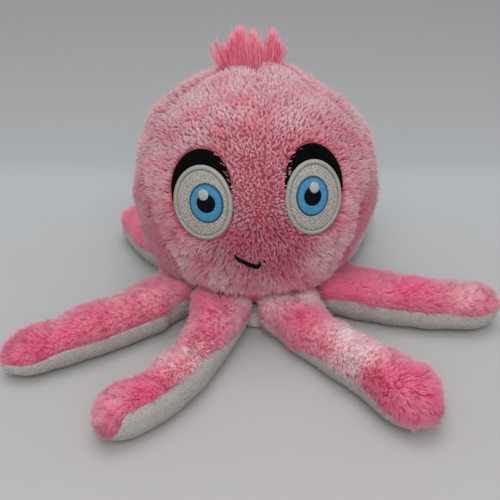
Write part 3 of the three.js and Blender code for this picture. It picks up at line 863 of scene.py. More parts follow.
def build_pile(name, skin, style, material, keep, tone, seed):
    """A pile of closed, tapered locks. Every lock leans along the comb direction with its own and its clump's
    stray, and its tip is drawn towards that of its clump's middle lock, and then of its tuft's."""
    draw = np.random.default_rng(seed)
    along, share = scatter(skin, style.spacing, draw)
    points, normals = skin.place(along, share)
    kept = keep(points)
    points, normals = points[kept], normals[kept]
    clump, tuft = clump_middles(skin, along[kept], share[kept], style, draw)
    count = len(points)
    brushed, calm = style.brushed(points), style.calm(points)

    def mixed_pair(pair):
        return pair[0] * (1 - brushed) + pair[1] * brushed

    clump_stray = (style.stray * (1 - 0.4 * brushed))[:, None] * unit(clump.shared[:, :3] - 0.5)
    tuft_stray = (style.tuft[2] * brushed)[:, None] * unit(tuft.shared[:, :3] - 0.5)
    own_stray = style.own_stray * unit(draw.normal(size=(count, 3)))
    onward = tangent(style.comb(points, normals) + tuft_stray + clump_stray + own_stray, normals)
    clump_onward = tangent(style.comb(clump.points, clump.normals) + tuft_stray + clump_stray, clump.normals)
    tuft_onward = tangent(style.comb(tuft.points, tuft.normals) + tuft_stray, tuft.normals)

    clump_growth = 0.82 + 0.36 * clump.shared[:, 3]
    length = style.length(points) * clump_growth * draw.uniform(0.85, 1.1, count)
    lean = style.lean(points) * draw.uniform(0.8, 1.2, count)
    flyaway = draw.random(count) < style.flyaway
    hold = np.where(flyaway, FLYAWAY_HOLD, 1)
    tips = lock_tips(points, normals, onward, np.where(flyaway, FLYAWAY_LENGTH * length, length),
                     np.where(flyaway, FLYAWAY_LEAN * lean, lean))
    clump_tips = lock_tips(clump.points, clump.normals, clump_onward, style.length(clump.points) * clump_growth,
                           style.lean(clump.points))
    tuft_tips = lock_tips(tuft.points, tuft.normals, tuft_onward,
                          style.length(tuft.points) * (0.9 + 0.3 * tuft.shared[:, 3]), style.lean(tuft.points))
    tips = tips + (mixed_pair(style.pull) * hold * (1 - 0.5 * calm))[:, None] * (clump_tips - tips)
    tips = tips + (style.tuft[1] * brushed * hold)[:, None] * (tuft_tips - tips)

    draw.random(count)  # one draw a lock that nothing uses, which keeps the draws after it as they are
    radius = style.radius * draw.uniform(0.8, 1.2, count) * np.where(flyaway, FLYAWAY_WIDTH, 1)
    sideways = unit(np.cross(normals, onward))
    first_side = unit(np.cross(tips - points, sideways + 0.3 * normals))
    second_side = unit(np.cross(tips - points, first_side))
    turn = 2 * np.pi * np.arange(LOCK_SIDES) / LOCK_SIDES
    ring = np.cos(turn)[None, :, None] * first_side[:, None] + np.sin(turn)[None, :, None] * second_side[:, None]
    vertices = np.concatenate([points[:, None] + radius[:, None, None] * ring, tips[:, None]], 1)
    vertices[..., 2] = np.maximum(vertices[..., 2], style.floor)
    piece, chart = lock_object(name, vertices, 1, LOCK_SIDES, material)
    radial = np.concatenate([ring, np.zeros((count, 1, 3))], 1)
    shading = unit(normals[:, None] + style.relief * radial + 0.25 * onward[:, None])
    piece.data.normals_split_custom_set_from_vertices(shading.reshape(-1, 3))

    # The along attribute also carries painted shade: the material darkens each lock towards its root. depth, near_root
    # and calm raise the roots' value as painted light, and lit scales all of it.
    depth = (mixed_pair(style.depth) + 0.5 * style.near_root(points) + 0.12 * calm)[:, None]
    way_up = np.array([0.0] * LOCK_SIDES + [1.0])
    set_attribute(piece, "along", style.lit * (depth + (1 - depth) * way_up))
    shade = tone(points) + mixed_pair(style.streak) * (clump.shared[:, 2] - 0.5) + draw.uniform(-0.06, 0.06, count)
    # Painted shade for each lock: darker on curly pile, on some clumps and towards the rims of tufts, with a random
    # spread, plus the style's shade.
    dusk = 0.12 * (1 - brushed) + style.mottle * (0.5 - 0.15 * brushed) * clump.shared[:, 3]
    dusk = dusk + draw.uniform(-0.15, 0.15, count)
    from_heart = np.linalg.norm(points - tuft.points, axis=1) / style.tuft[0]
    dusk = (dusk + style.dusk * brushed * smooth(from_heart, 0.3, 0.65)) * (1 - 0.4 * calm) + style.shade(points)
    set_attribute(piece, "dusk", np.repeat(np.clip(dusk, 0, 1), LOCK_SIDES + 1))
    set_attribute(piece, "tone", np.repeat(np.clip(shade, 0, 1), LOCK_SIDES + 1))
    chart_locks(piece, count, chart)
    return piece


def lock_object(name, vertices, rings, sides, material):
    """An object of many locks, from each lock's own row of vertices, and one lock's corners in the unwrapped map."""
    count, each = vertices.shape[:2]
    pattern, chart = lock_faces(rings, sides)
    faces = (np.arange(count)[:, None, None] * each + pattern[None]).reshape(-1, 3)
    return new_object(name, vertices.reshape(-1, 3), faces, material), chart


def lock_faces(rings, sides):
    """One lock's triangles, by vertex: a cap at its root, bands between its rings, and a fan to its tip. With each
    corner's place in the lock's own square of the unwrapped map."""
    faces, chart = [], []
    for ring in range(rings - 1):
        for side in range(sides):
            here, beside = ring * sides + side, ring * sides + (side + 1) % sides
            left, right = side / sides, (side + 1) / sides
            low, high = ring / rings, (ring + 1) / rings
            faces += [(here, beside, beside + sides), (here, beside + sides, here + sides)]
            chart += [((left, low), (right, low), (right, high)), ((left, low), (right, high), (left, high))]
    last = (rings - 1) * sides
    for side in range(sides):
        left, right, low = side / sides, (side + 1) / sides, (rings - 1) / rings
        faces.append((last + side, last + (side + 1) % sides, rings * sides))
        chart.append(((left, low), (right, low), ((left + right) / 2, 1.0)))
    for side in range(1, sides - 1):
        faces.append((0, side + 1, side))
        chart.append(((0.0, 0.0), (0.5, 0.05), (1.0, 0.0)))
    return np.array(faces), np.array(chart)


def chart_locks(piece, count, chart):
    """The map for baking: one square of a grid to each lock, in the order of the rows, with a small margin."""
    across = math.ceil(math.sqrt(count))
    cell = np.arange(count)
    corner = np.stack([cell % across, cell // across], -1)[:, None, None]
    places = (corner + 0.08 + 0.84 * chart[None]) / across
    layer = piece.data.uv_layers.new(name="OFBake")
    layer.data.foreach_set("uv", places.astype(np.float32).ravel())


def dye(base, patches, seed, size=24, spread=0.1):
    """Tie-dye: each patch (x, y, z, radius, tone) weighs by a bell curve over its distance, against a plain base,
    and two sizes of soft noise break the edges up."""
    table = np.array(patches, float).reshape(-1, 5)

    def tone(points):
        total, weight = np.full(len(points), base * 0.25), np.full(len(points), 0.25)
        for x, y, z, radius, value in table:
            bell = np.exp(-((points - (x, y, z)) ** 2).sum(-1) / radius ** 2)
            total += bell * value
            weight += bell
        return total / weight + spread * waves(points, size, seed) + 0.03 * waves(points, 9, seed + 1)
    return tone


# ---- Eyes: fields of thread on the head, each between two ovals

def eye_frame(sign, turn_deg=EYE_TURN_DEG, lift_deg=EYE_LIFT_DEG, lean_deg=EYE_LEAN_DEG):
    """Where an eye sits and its own right, up and outward: the place of the head whose normal has that turn and
    lift, with the oval leaned outwards and the whole face rolled about the head's middle."""
    turn, lift = math.radians(sign * turn_deg), math.radians(lift_deg)
    outward = np.array([math.sin(turn) * math.cos(lift), -math.cos(turn) * math.cos(lift), math.sin(lift)])
    place = HEAD_HALF ** 2 * outward / np.linalg.norm(HEAD_HALF * outward)
    right = unit(np.cross([0, 0, 1.0], outward))
    up = np.cross(outward, right)
    lean = math.radians(-sign * lean_deg)
    leaned = (right * math.cos(lean) + up * math.sin(lean), up * math.cos(lean) - right * math.sin(lean))
    roll = math.radians(-FACE_ROLL_DEG)
    turned = np.array([(math.cos(roll), 0, math.sin(roll)), (0, 1, 0), (-math.sin(roll), 0, math.cos(roll))])
    place = turned @ place + HEAD_MIDDLE
    narrow = 1.0
    if sign > 0:
        place, narrow = place + RIGHT_EYE_SHIFT * (turned @ leaned[0]), RIGHT_EYE_NARROWING
    return SimpleNamespace(
        sign=sign, place=place, right=turned @ leaned[0], up=turned @ leaned[1], outward=turned @ outward,
        narrow=narrow,
    )


def on_head(eye, u, v, lift):
    """Points at u across and v up in an eye's plane, moved along its outward line on to the head let out by a
    lift, by Newton's steps on the head form's level."""
    points = eye.place + eye.narrow * u[..., None] * eye.right + v[..., None] * eye.up
    lift = np.broadcast_to(lift, u.shape)[..., None] - EYE_SINK
    for _ in range(12):
        level, slope = head_slope(points, lift)
        points = points - eye.outward * ((level - 1) / (slope * eye.outward).sum(-1))[..., None]
    return points


def oval(half, shift, angle):
    """Points of an upright oval: its shift plus (half-width cos(angle), half-height sin(angle))."""
    return shift[0] + half[0] * np.cos(angle), shift[1] + half[1] * np.sin(angle)


def eye_field(name, eye, inner, outer, height, material, rows, columns, stitches):
    """A field of stitches between two ovals: points are mixed from the inner oval to the outer one, and lifted by
    height(share across, angle) over a flat underside."""
    share = np.linspace(0, 1, rows)[:, None]
    angle = np.linspace(0, 2 * np.pi, columns, endpoint=False)[None]
    inner_u, inner_v = oval(*inner, angle)
    outer_u, outer_v = oval(*outer, angle)
    u = inner_u * (1 - share) + outer_u * share
    v = inner_v * (1 - share) + outer_v * share
    top = on_head(eye, u, v, height(share, angle))
    bottom = on_head(eye, u, v, np.full_like(u, STITCH_BED))
    piece = shell(name, top, bottom, material, around=True)
    local = points_of(piece) - eye.place
    across, upward = local @ eye.right / eye.narrow, local @ eye.up
    set_attribute(piece, "stitch", stitches(across, upward))
    return piece


BORDER_STITCHES = 140


def satin_stitches(across, upward):
    """Stitches that lie side by side round the oval, each with a painted highlight along its middle."""
    angle = np.arctan2(upward / EYE_HALF[1], across / EYE_HALF[0])
    return 0.65 + 0.35 * np.cos(angle * BORDER_STITCHES)


def fill_stitches(pitch, row):
    """Rows of short stitches, each row shifted by half a stitch, with a painted highlight along the middle of each
    stitch.
    """
    def stitches(across, upward):
        line = np.floor(upward / row)
        bar = np.cos(2 * np.pi * (across / pitch + 0.5 * (line % 2)))
        return 0.6 + 0.3 * bar * np.cos(np.pi * (upward / row - line - 0.5))
    return stitches


# How high each field of an eye stands over its bed, by its share outwards and the angle round it
POINT_HALF = (0.01, 0.01)


def border_height(share, angle):
    """A padded bead, with its stitches standing out a little."""
    return (1.4 + 0.75 * np.sin(np.pi * np.clip(share, 0.02, 0.98)) ** 0.6
            + 0.07 * np.cos(BORDER_STITCHES * angle))


def white_height(share, angle):
    """Nearly flat, with broken rows."""
    return 1.4 + 0.12 * np.sin(share * 19 + 7 * np.sin(angle * 23)) + 0 * angle


def iris_height(share, angle):
    """A low bead."""
    return 1.45 + 0.25 * np.sin(np.pi * np.clip(share, 0.05, 0.95)) ** 0.5 + 0 * angle


def pupil_height(share, angle):
    """A low dome."""
    return 1.8 - 0.35 * share ** 4 + 0 * angle


def glint_height(share, angle):
    """A dome that stands over the pupil's edge."""
    return 2.5 - 0.75 * share ** 3 + 0 * angle


def add_eye(side, sign):
    """One eye: a raised border, a white, an iris, a pupil and a glint of stitches side by side, under a felt lid."""
    eye = eye_frame(sign)
    iris_shift = IRIS_PLACES[side]
    glint_shift = (iris_shift[0] + sign * GLINT_SHIFT[0], iris_shift[1] + GLINT_SHIFT[1])
    border_inner = (EYE_HALF[0] - BORDER_WIDTH, EYE_HALF[1] - BORDER_WIDTH)

    def less(half, gap):
        return (half[0] - gap, half[1] - gap)

    def iris_stitches(across, upward):
        reach = np.hypot((across - iris_shift[0]) / IRIS_HALF[0], (upward - iris_shift[1]) / IRIS_HALF[1])
        return fill_stitches(1.7, 1.1)(across, upward) * (1 - 0.9 * smooth(reach, 0.87, 0.95))

    def white_stitches(across, upward):
        reach = np.hypot(across / border_inner[0], upward / border_inner[1])
        # painted shade: the white darkens next to the raised border, as in its shadow
        return fill_stitches(2.6, 1.3)(across, upward) * (1 - 0.75 * smooth(reach, 0.945, 0.99))

    fields = [
        ("border", "white_thread", BORDER_THREAD, (border_inner, (0, 0)), (EYE_HALF, (0, 0)), border_height,
         (7, 560), satin_stitches),
        ("white", "white_thread", WHITE_THREAD, (less(IRIS_HALF, -0.25), iris_shift),
         (less(border_inner, 0.12), (0, 0)), white_height, (24, 200), white_stitches),
        ("iris", "blue_thread", BLUE_THREAD, (less(PUPIL_HALF, -0.1), iris_shift), (IRIS_HALF, iris_shift),
         iris_height, (14, 128), iris_stitches),
        ("pupil", "black_thread", BLACK_THREAD, (POINT_HALF, iris_shift), (PUPIL_HALF, iris_shift), pupil_height,
         (7, 64), fill_stitches(1.8, 0.9)),
        ("glint", "white_thread", GLINT_THREAD, (POINT_HALF, glint_shift), ((GLINT_HALF, GLINT_HALF), glint_shift),
         glint_height, (7, 48), fill_stitches(1.4, 0.7)),
    ]
    for node, slot, material, inner, outer, height, grid, stitches in fields:
        piece = eye_field(f"eye_{side}_{node}_stitches", eye, inner, outer, height, material, *grid, stitches)
        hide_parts(f"eye_{side}_{node}")
        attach(piece, "head")
    add_lid(side, eye)


def add_lid(side, eye):
    """The felt crescent over an eye: along each ray from the eye's middle it runs from the eye's oval to the lid's
    oval, wherever the lid's is the further one."""
    angle = np.linspace(math.radians(-60), math.radians(240), 161)
    across, upward = np.cos(angle), np.sin(angle)
    near = 1 / np.hypot(across / (EYE_HALF[0] + 0.2), upward / (EYE_HALF[1] + 0.2))
    shift_u, shift_v = eye.sign * LID_SHIFT[0], LID_SHIFT[1]
    a = (across / LID_HALF[0]) ** 2 + (upward / LID_HALF[1]) ** 2
    b = -2 * (across * shift_u / LID_HALF[0] ** 2 + upward * shift_v / LID_HALF[1] ** 2)
    c = (shift_u / LID_HALF[0]) ** 2 + (shift_v / LID_HALF[1]) ** 2 - 1
    far = (-b + np.sqrt(b * b - 4 * a * c)) / (2 * a)
    held = far > near + 0.05
    angle, near, far = angle[held], near[held], far[held]
    share = np.linspace(0, 1, 9)[:, None]
    reach = near * (1 - share) + far * share
    u, v = reach * np.cos(angle), reach * np.sin(angle)
    top = on_head(eye, u, v, 1.7 - 0.5 * np.abs(2 * share - 1) ** 6 + 0 * angle)
    bottom = on_head(eye, u, v, np.full_like(u, STITCH_BED))
    piece = shell(f"eye_{side}_lid_felt", top, bottom, LID_FELT)
    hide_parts(f"eye_{side}_lid")
    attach(piece, "head")


def smile_point(face, across, beside, lift):
    """The smile's line: it rises by its depth times the size of across to the power of its bend."""
    u = SMILE_SHIFT + SMILE_HALF_WIDTH * across
    v = SMILE_HEIGHT - HEAD_MIDDLE[2] + SMILE_DEPTH * np.abs(across) ** SMILE_BEND + beside
    return on_head(face, u, v, lift)


def add_mouth(face):
    """A line of satin stitch: a low rounded bead, thinner to both ends, whose right half sinks into the pile."""
    across = np.linspace(-1, 1, 121)[None]
    share = np.linspace(-1, 1, 9)[:, None]
    half = 1.35 * (1 - 0.5 * across ** 2)
    under = 0.8 - 4.8 * smooth(across, -0.05, 0.2) - 5.0 * smooth(-across, 0.7, 0.82)
    rise = under + 0.3 + 2.3 * np.sqrt(np.maximum(1 - share ** 2, 0)) + 0.08 * np.cos(across * 90)
    top = smile_point(face, across + 0 * share, share * half, rise)
    bottom = smile_point(face, across + 0 * share, share * half, under + 0 * share)
    piece = shell("mouth_satin_stitches", top, bottom, BLACK_THREAD)
    # painted highlights and shade in stripes along the smile's thread
    set_attribute(piece, "stitch", 0.5 + 0.4 * np.sin(points_of(piece)[:, 0] * 7))
    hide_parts("mouth_stitch")
    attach(piece, "head")


# ---- Build: head

# The frame of the smile, straight ahead, those of the eyes, and where the face's pile parts
FACE = eye_frame(0, 0, 0, 0)
EYES = {"left": eye_frame(-1), "right": eye_frame(1)}
NOSE_BRIDGE = np.array([0.0, -77.0, 97.0])


def in_oval(points, eye, half, shift):
    """How far out a point lies in an oval of an eye's plane, where 1 is on the oval."""
    local = points - eye.place
    u, v = local @ eye.right / eye.narrow, local @ eye.up
    front = local @ eye.outward > -25
    return np.where(front, np.hypot((u - eye.sign * shift[0]) / half[0], (v - shift[1]) / half[1]), 9)


def clear_of_face(points):
    """True where pile may grow: outside the eyes and lids, and off the left of the smile."""
    free = np.ones(len(points), bool)
    for eye in EYES.values():
        free &= in_oval(points, eye, (EYE_HALF[0] + 0.7, EYE_HALF[1] + 0.7), (0, 0)) > 1
        inward = -eye.sign * ((points - eye.place) @ eye.right)
        over = 0.025 + 0.015 * waves(points, 5, 7)
        lid = in_oval(points, eye, LID_HALF, LID_SHIFT) < 1.0 - over * smooth(inward, -4, 12)
        free &= ~lid
    local = points - FACE.place
    across = (local @ FACE.right - SMILE_SHIFT) / SMILE_HALF_WIDTH
    rise = SMILE_HEIGHT - HEAD_MIDDLE[2] + SMILE_DEPTH * np.minimum(np.abs(across), 1) ** SMILE_BEND
    near = np.abs(local @ FACE.up - rise) < 1.6
    near &= (across > -0.76) & (across < -0.02) & (points[:, 1] < 0)
    return free & ~near & ((points[:, 2] > 41) | (points[:, 1] > -30))


def face_comb(points, normals):
    """Pile brushed away from the bridge of the nose."""
    return tangent(points - NOSE_BRIDGE, normals)


def back_comb(points, normals):
    """Pile that falls backwards and down."""
    return tangent(np.array([0.0, 0.6, -1.0]) + 0.4 * unit(points * (1, 1, 0)), normals)


def face_brushed(points):
    """0 on the curly forehead and nose, 1 on the brushed cheeks and sides."""
    away = np.hypot(points[:, 0] / 46, np.maximum(88 - points[:, 2], 0) / 46)
    return smooth(away, 0.55, 1.05) * smooth(128 - points[:, 2], 0, 30)


def face_length(points):
    """Longer on the cheeks and where the pile laps over the nose side of a lid, shorter on the crown."""
    length = 4.6 + 3.2 * face_brushed(points) - 0.8 * smooth(points[:, 2], 135, 158)
    for eye in EYES.values():
        inward = -eye.sign * ((points - eye.place) @ eye.right)
        lap = smooth(1.14 - in_oval(points, eye, LID_HALF, LID_SHIFT), 0, 0.1) * smooth(inward, 0, 8)
        length = length + 1.8 * lap
    return length


def face_calm(points):
    """1 on the crown, where the pile is a fine even fuzz."""
    return smooth(points[:, 2], 134, 154)


def face_painted_shade(points):
    """How much painted shade darkens the deep curls of the forehead and the crown, and how much painted light
    brightens the brushed cheeks.
    """
    forehead = np.exp(-((points - (-3, -55, 134)) ** 2).sum(-1) / 30 ** 2)
    return 0.22 * forehead + 0.22 * smooth(points[:, 2], 138, 156) - 0.44 * face_brushed(points)


def head_pile_style(front):
    """The head's pile: curly on the forehead and nose and brushed on the cheeks, or half brushed all over its back."""
    if front:
        own = {
            "spacing": 0.49, "clump": (1.5, 1.35), "radius": 0.34, "tuft": (6.5, 0.35, 0.5), "dusk": 0.5,
            "streak": (0.16, 0.48), "shade": face_painted_shade, "calm": face_calm, "brushed": face_brushed,
            "comb": face_comb, "length": face_length,
        }
    else:
        own = {
            "spacing": 0.72, "clump": (1.75, 1.75), "radius": 0.38, "tuft": (5.5, 0.3, 0.45), "dusk": 0.35,
            "streak": (0.16, 0.34), "shade": even(-0.1), "brushed": even(0.55), "comb": back_comb,
            "length": even(6.4),
        }
    return pile_style(
        relief=0.6, stray=1.2, own_stray=0.4, pull=(0.75, 0.7), floor=0.4, depth=(0.0, 0.05), flyaway=0.04,
        lean=lambda points: 0.7 + 1.2 * own["brushed"](points), **own,
    )


# Each dye: its plain tone, its patches (x, y, z, radius, tone) and its seed
FRONT_DYE = dye(0.42, [
    (-19, -12, 161, 20, 0.03), (-36, -25, 151, 20, 0.1), (16, -21, 159, 20, 0.02), (32, -23, 154, 16, 0.08),
    (-48, -34, 138, 22, 0.2), (-57, -39, 124, 18, 0.22), (-5, -56, 138, 20, 0.33), (38, -26, 150, 6, 0.65),
    (43, -40, 138, 15, 0.42), (-2, -71, 113, 20, 0.26), (2, -77, 86, 24, 0.46), (-36, -68, 66, 15, 0.22),
    (-62, -51, 78, 16, 0.5), (-50, -55, 53, 13, 0.22), (-16, -68, 48, 11, 0.18), (-2, -75, 66, 12, 0.6),
    (20, -72, 62, 12, 0.62), (45, -64, 71, 14, 0.25), (34, -68, 61, 10, 0.42), (-74, -33, 93, 18, 0.48),
], 31)
SIDE_DYE = {
    "head_back_left": dye(0.5, [(-72, -30, 95, 22, 0.5), (-68, -22, 60, 22, 0.8), (-60, 10, 130, 30, 0.3)], 33),
    "head_back_right": dye(0.5, [
        (66, -44, 76, 24, 1.2), (69, -38, 103, 14, 0.5), (64, -34, 58, 20, 0.95), (54, -25, 138, 16, 0.36),
        (73, -19, 115, 16, 0.4), (30, 40, 130, 30, 0.3),
    ], 35),
}


def grid_shell(name, skin_out, skin_in, rows, columns, material):
    """A closed cloth between an outer and an inner skin, on one grid of lengths and shares."""
    share = np.linspace(0, 1, columns)
    made = []
    for skin in (skin_out, skin_in):
        along = np.linspace(0, skin.length, rows)
        points, _ = skin.place(np.repeat(along, columns), np.tile(share, rows))
        made.append(points.reshape(rows, columns, 3))
    return shell(name, *made, material)


def add_head():
    """The head's three plush panels, each a cloth and its pile, with the base and the filling."""
    for panel, (start, end) in head_spans().items():
        front = panel == "head_front"
        node = f"{panel}_panel"
        cloth = grid_shell(f"{panel}_cloth", head_skin(start, end, 2.8), head_skin(start, end, 5.4), 64, 64,
                           PLUSH_BACKING)
        tone = FRONT_DYE if front else SIDE_DYE[panel]
        set_attribute(cloth, "tone", tone(points_of(cloth)))
        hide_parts(node)
        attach(cloth, "head")
        if front:
            parts = [("_left", 41, lambda points: clear_of_face(points) & (points[:, 0] < 0)),
                     ("_right", 41, lambda points: clear_of_face(points) & (points[:, 0] >= 0))]
        else:
            parts = [("", 43, lambda points: np.ones(len(points), bool))]
        for suffix, seed, keep in parts:
            pile = build_pile(f"{panel}_pile{suffix}", head_skin(start, end, 3.0), head_pile_style(front),
                              PLUSH_PILE, keep, tone, seed)
            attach(pile, "head")
    add_base()
    add_head_filling()


# The base's profile between the front arms, from its edge to the middle of the floor: share down, reach and height
BASE_BULGE = np.array([
    (0, 48, 14.8), (0.08, 53, 12.8), (0.16, 56, 9.5), (0.24, 57, 5), (0.32, 56, 1.5), (0.4, 53, 0), (1, 0, 0),
])


def add_base():
    """The white base: the head's form below the seam, flat on the floor. Between the two front arms it bulges
    forwards: there its profile is mixed with a fuller one, by a flat-topped bell curve over the turn."""
    turn = np.linspace(-np.pi, np.pi, 160, endpoint=False)[None]
    latitude = np.linspace(-np.pi / 2, math.radians(BASE_EDGE_DEG), 24)[:, None] + 0 * turn
    turn = turn + 0 * latitude
    rim = head_relief(turn, np.full_like(latitude, math.radians(BASE_SEAM_DEG))) * smooth(latitude, -1.35, -0.93)
    outer = head_point(turn, latitude, rim - 0.6)
    inner = head_point(turn, latitude, rim - 2.0)
    down = (math.radians(BASE_EDGE_DEG) - latitude) / (math.pi / 2 + math.radians(BASE_EDGE_DEG))
    bulge = np.exp(-((turn + 0.02) / 0.22) ** 4)[..., None]
    for grid, inset in ((outer, 0), (inner, 1.4)):
        reach = np.interp(down, BASE_BULGE[:, 0], BASE_BULGE[:, 1]) - inset
        height = np.interp(down, BASE_BULGE[:, 0], BASE_BULGE[:, 2])
        full = np.stack([reach * np.sin(turn), -reach * np.cos(turn), height], -1)
        grid[...] = grid * (1 - bulge) + full * bulge
        grid[..., 2] = np.maximum(grid[..., 2], inset)
    piece = shell("base_cloth", outer, inner, VELOUR_BACKING, around=True)
    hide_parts("base_panel")
    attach(piece, "head")


def add_head_filling():
    """The head's filling: the head's form taken in under the cloth, flat above the base."""
    turn = np.linspace(0, 2 * np.pi, 72, endpoint=False)[None]
    latitude = np.linspace(-np.pi / 2, np.pi / 2, 40)[:, None] + 0 * turn
    turn = turn + 0 * latitude
    outer = head_point(turn, latitude, head_relief(turn, latitude) * smooth(latitude, -1.2, -0.8) - 7.2)
    outer[..., 2] = np.maximum(outer[..., 2], 2.6)
    _, quads = grid_faces(*outer.shape[:2], True)
    piece = new_object("head_filling", outer.reshape(-1, 3), quads, FIBRE_FILL)
    close_up(piece)
    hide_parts("head_stuffing")
    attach(piece, "head")


# ---- Build: arms

# Each arm's dye: its plain tone and its patches (x, y, z, radius, tone)
ARM_DYES = {
    "arm_left": (0.65, [
        (-53, -41, 30, 16, 0.5), (-76, -62, 32, 14, 0.42), (-60, -68, 22, 12, 0.7), (-98, -92, 25, 22, 0.68),
        (-90, -72, 34, 12, 0.45), (-120, -107, 30, 22, 0.88), (-144, -119, 30, 16, 0.85),
    ]),
    "arm_front_left": (0.5, [
        (-15, -62, 32, 14, 0.45), (-31, -65, 32, 12, 0.85), (-24, -76, 34, 12, 0.8), (-36, -97, 32, 18, 0.7),
        (-50, -122, 32, 15, 0.14), (-40, -125, 24, 12, 0.2), (-62, -142, 32, 16, 1.1), (-58, -155, 25, 14, 0.9),
        (-86, -168, 28, 16, 0.62),
    ]),
    "arm_front_right": (0.45, [
        (8, -65, 32, 16, 0.25), (21, -84, 34, 11, 0.85), (25, -102, 26, 10, 0.8), (42, -81, 32, 12, 0.5),
        (46, -107, 32, 12, 0.08), (58, -112, 30, 13, 0.12), (38, -112, 22, 10, 0.1), (80, -137, 30, 18, 0.85),
        (90, -157, 28, 18, 0.9),
    ]),
    "arm_right": (0.55, [
        (52, -38, 30, 18, 1.25), (68, -43, 32, 14, 0.95), (92, -50, 30, 14, 0.8), (113, -48, 32, 13, 0.9),
        (133, -48, 32, 14, 0.3), (150, -65, 28, 14, 0.78),
    ]),
    "arm_rear_left": (0.85, [(-101, 50, 30, 26, 0.95), (-80, 10, 30, 20, 0.7), (-66, -8, 24, 12, 0.95)]),
    "arm_rear_right": (0.5, [(70, 60, 30, 20, 0.8), (80, 100, 30, 20, 0.2), (75, 140, 30, 18, 0.8)]),
    "arm_back_right": (0.5, [(20, 80, 30, 18, 0.25), (18, 120, 30, 20, 0.85), (0, 150, 30, 16, 0.4)]),
    "arm_back_left": (0.5, [(-28, 80, 30, 18, 0.75), (-45, 120, 30, 20, 0.2), (-60, 150, 30, 16, 0.85)]),
}


# How far in from the solid an arm's skins lie, at the sides, on top and underneath: a cloth's outer and inner skin,
# and the skin that its pile grows from
TOP_CLOTH, TOP_ROOTS = ((4.2, 4.4, 0.5), (6.0, 6.8, 2.0)), (4.4, 4.6, 0.5)
UNDER_CLOTH, UNDER_ROOTS = ((2.8, 6.4, 0.7), (4.2, 7.6, 2.2)), (3.0, 6.4, 0.9)
FILLING_INSETS = (6.6, 8.6, 3.2)

# Where an arm's pile differs from the plain one. long_tip: how much longer it is at the tip. bright: how much painted
# light takes off its painted shade, and fade: over which distances from the middle that ends. deep: how bright its
# roots are against their painted shade. short: the share of its length low on the sides. near_root: how far painted
# light brightens its roots near the head, which shades them. velour: the painted brightness of the white, below 1 as
# painted shade
PLAIN_PILE = {"long_tip": 0.8, "bright": 0.0, "fade": (125, 165), "deep": 0.28, "short": 0.55, "near_root": 1.0,
              "velour": 1.0}
ARM_PILES = {
    "arm_front_left": {"long_tip": 1.2, "bright": 0.5, "deep": 0.4, "near_root": 0.5},
    "arm_front_right": {"long_tip": 3.2, "bright": 0.32, "fade": None, "short": 0.9, "near_root": 0.5},
    "arm_right": {"short": 0.9, "velour": 0.85},
    "arm_rear_left": {"bright": 0.3},
}


def outside_head(points, lift):
    """True outside the head's plain form, let out by a lift."""
    return head_slope(points, lift)[0] > 1


ROOT_SEARCH = np.linspace(0, 60, 241)


def root_starts(points_at, across, lift):
    """How far along each lengthwise line of an arm leaves the head's form, let out by a lift, for the last time."""
    points = points_at(np.repeat(ROOT_SEARCH, len(across)), np.tile(across, len(ROOT_SEARCH)))
    inside = ~outside_head(points, lift).reshape(len(ROOT_SEARCH), len(across))
    last = len(ROOT_SEARCH) - 1 - np.argmax(inside[::-1], 0)
    return ROOT_SEARCH[np.where(inside.any(0), last, 0)]


def arm_cloth(arm, part, insets, material, name):
    """A closed cloth of an arm. Each lengthwise line starts where it leaves the head's form."""
    rows, columns = 56, 26
    share = np.linspace(0, 1, columns)
    made = []
    for inset in insets:
        skin = arm_skin(arm, *inset, part)
        start = root_starts(lambda along, across: skin.place(along, across)[0], share,
                            0.4 - ARM_TUCKS.get(arm.name, 0))
        along = start + (skin.length - start) * np.linspace(0, 1, rows)[:, None]
        points, _ = skin.place(along.ravel(), np.tile(share, rows))
        made.append(points.reshape(rows, columns, 3))
    return shell(name, *made, material)


def fleecy_tip(arm, points):
    """1 towards the arm's tip, where the pile is longest, and 0 over the rest."""
    tip = np.array([*arm.line[-1], 18.0])
    return np.exp(-((points - tip) ** 2).sum(-1) / 34 ** 2)


def arm_comb(arm):
    """Pile brushed along the arm, outwards and a little down."""
    def comb(points, normals):
        gap = ((points[:, None, :2] - arm.line[None, ::8]) ** 2).sum(-1)
        nearest = np.argmin(gap, 1) * 8
        across = arm.across[nearest]
        onward = np.stack([across[:, 1], -across[:, 0], np.zeros(len(points))], -1)
        side = ((points[:, :2] - arm.line[nearest]) * across).sum(-1) / 20
        outward = np.concatenate([across * side[:, None], np.zeros((len(points), 1))], 1)
        return tangent(onward + 0.35 * outward, normals)
    return comb


def arm_plush_style(arm, own):
    """The pink pile of an arm: longest towards the tip, shorter low on the sides, with painted light on its roots near
    the head and, on the brighter arms, less painted shade."""
    # painted light: the brighter arms get less painted shade, up to where that fades
    def shade(points):
        faded = 0 if own.fade is None else smooth(np.linalg.norm(points, axis=1), *own.fade)
        return np.full(len(points), -0.02) - own.bright * (1 - faded)

    # painted light on the roots near the head, where the head shades them
    def near_root(points):
        return own.near_root * (1 - smooth(np.linalg.norm(points[:, :2], axis=1), 70, 110))

    def length(points):
        kept = own.short + (1 - own.short) * smooth(points[:, 2], 15, 24)
        return (5.6 + own.long_tip * fleecy_tip(arm, points)) * kept

    return pile_style(
        spacing=0.57, clump=(2.2, 2.2), radius=0.36, relief=0.5, stray=0.7, own_stray=0.55, pull=(0.3, 0.3),
        floor=0.4, depth=(own.deep, own.deep), flyaway=0.06, tuft=(7.0, 0.2, 0.3), dusk=0.3, streak=(0.06, 0.12),
        mottle=0.55, shade=shade, near_root=near_root, comb=arm_comb(arm), length=length,
        brushed=lambda points: 0.4 + 0.6 * fleecy_tip(arm, points),
        lean=lambda points: 1.35 - 0.5 * fleecy_tip(arm, points),
    )


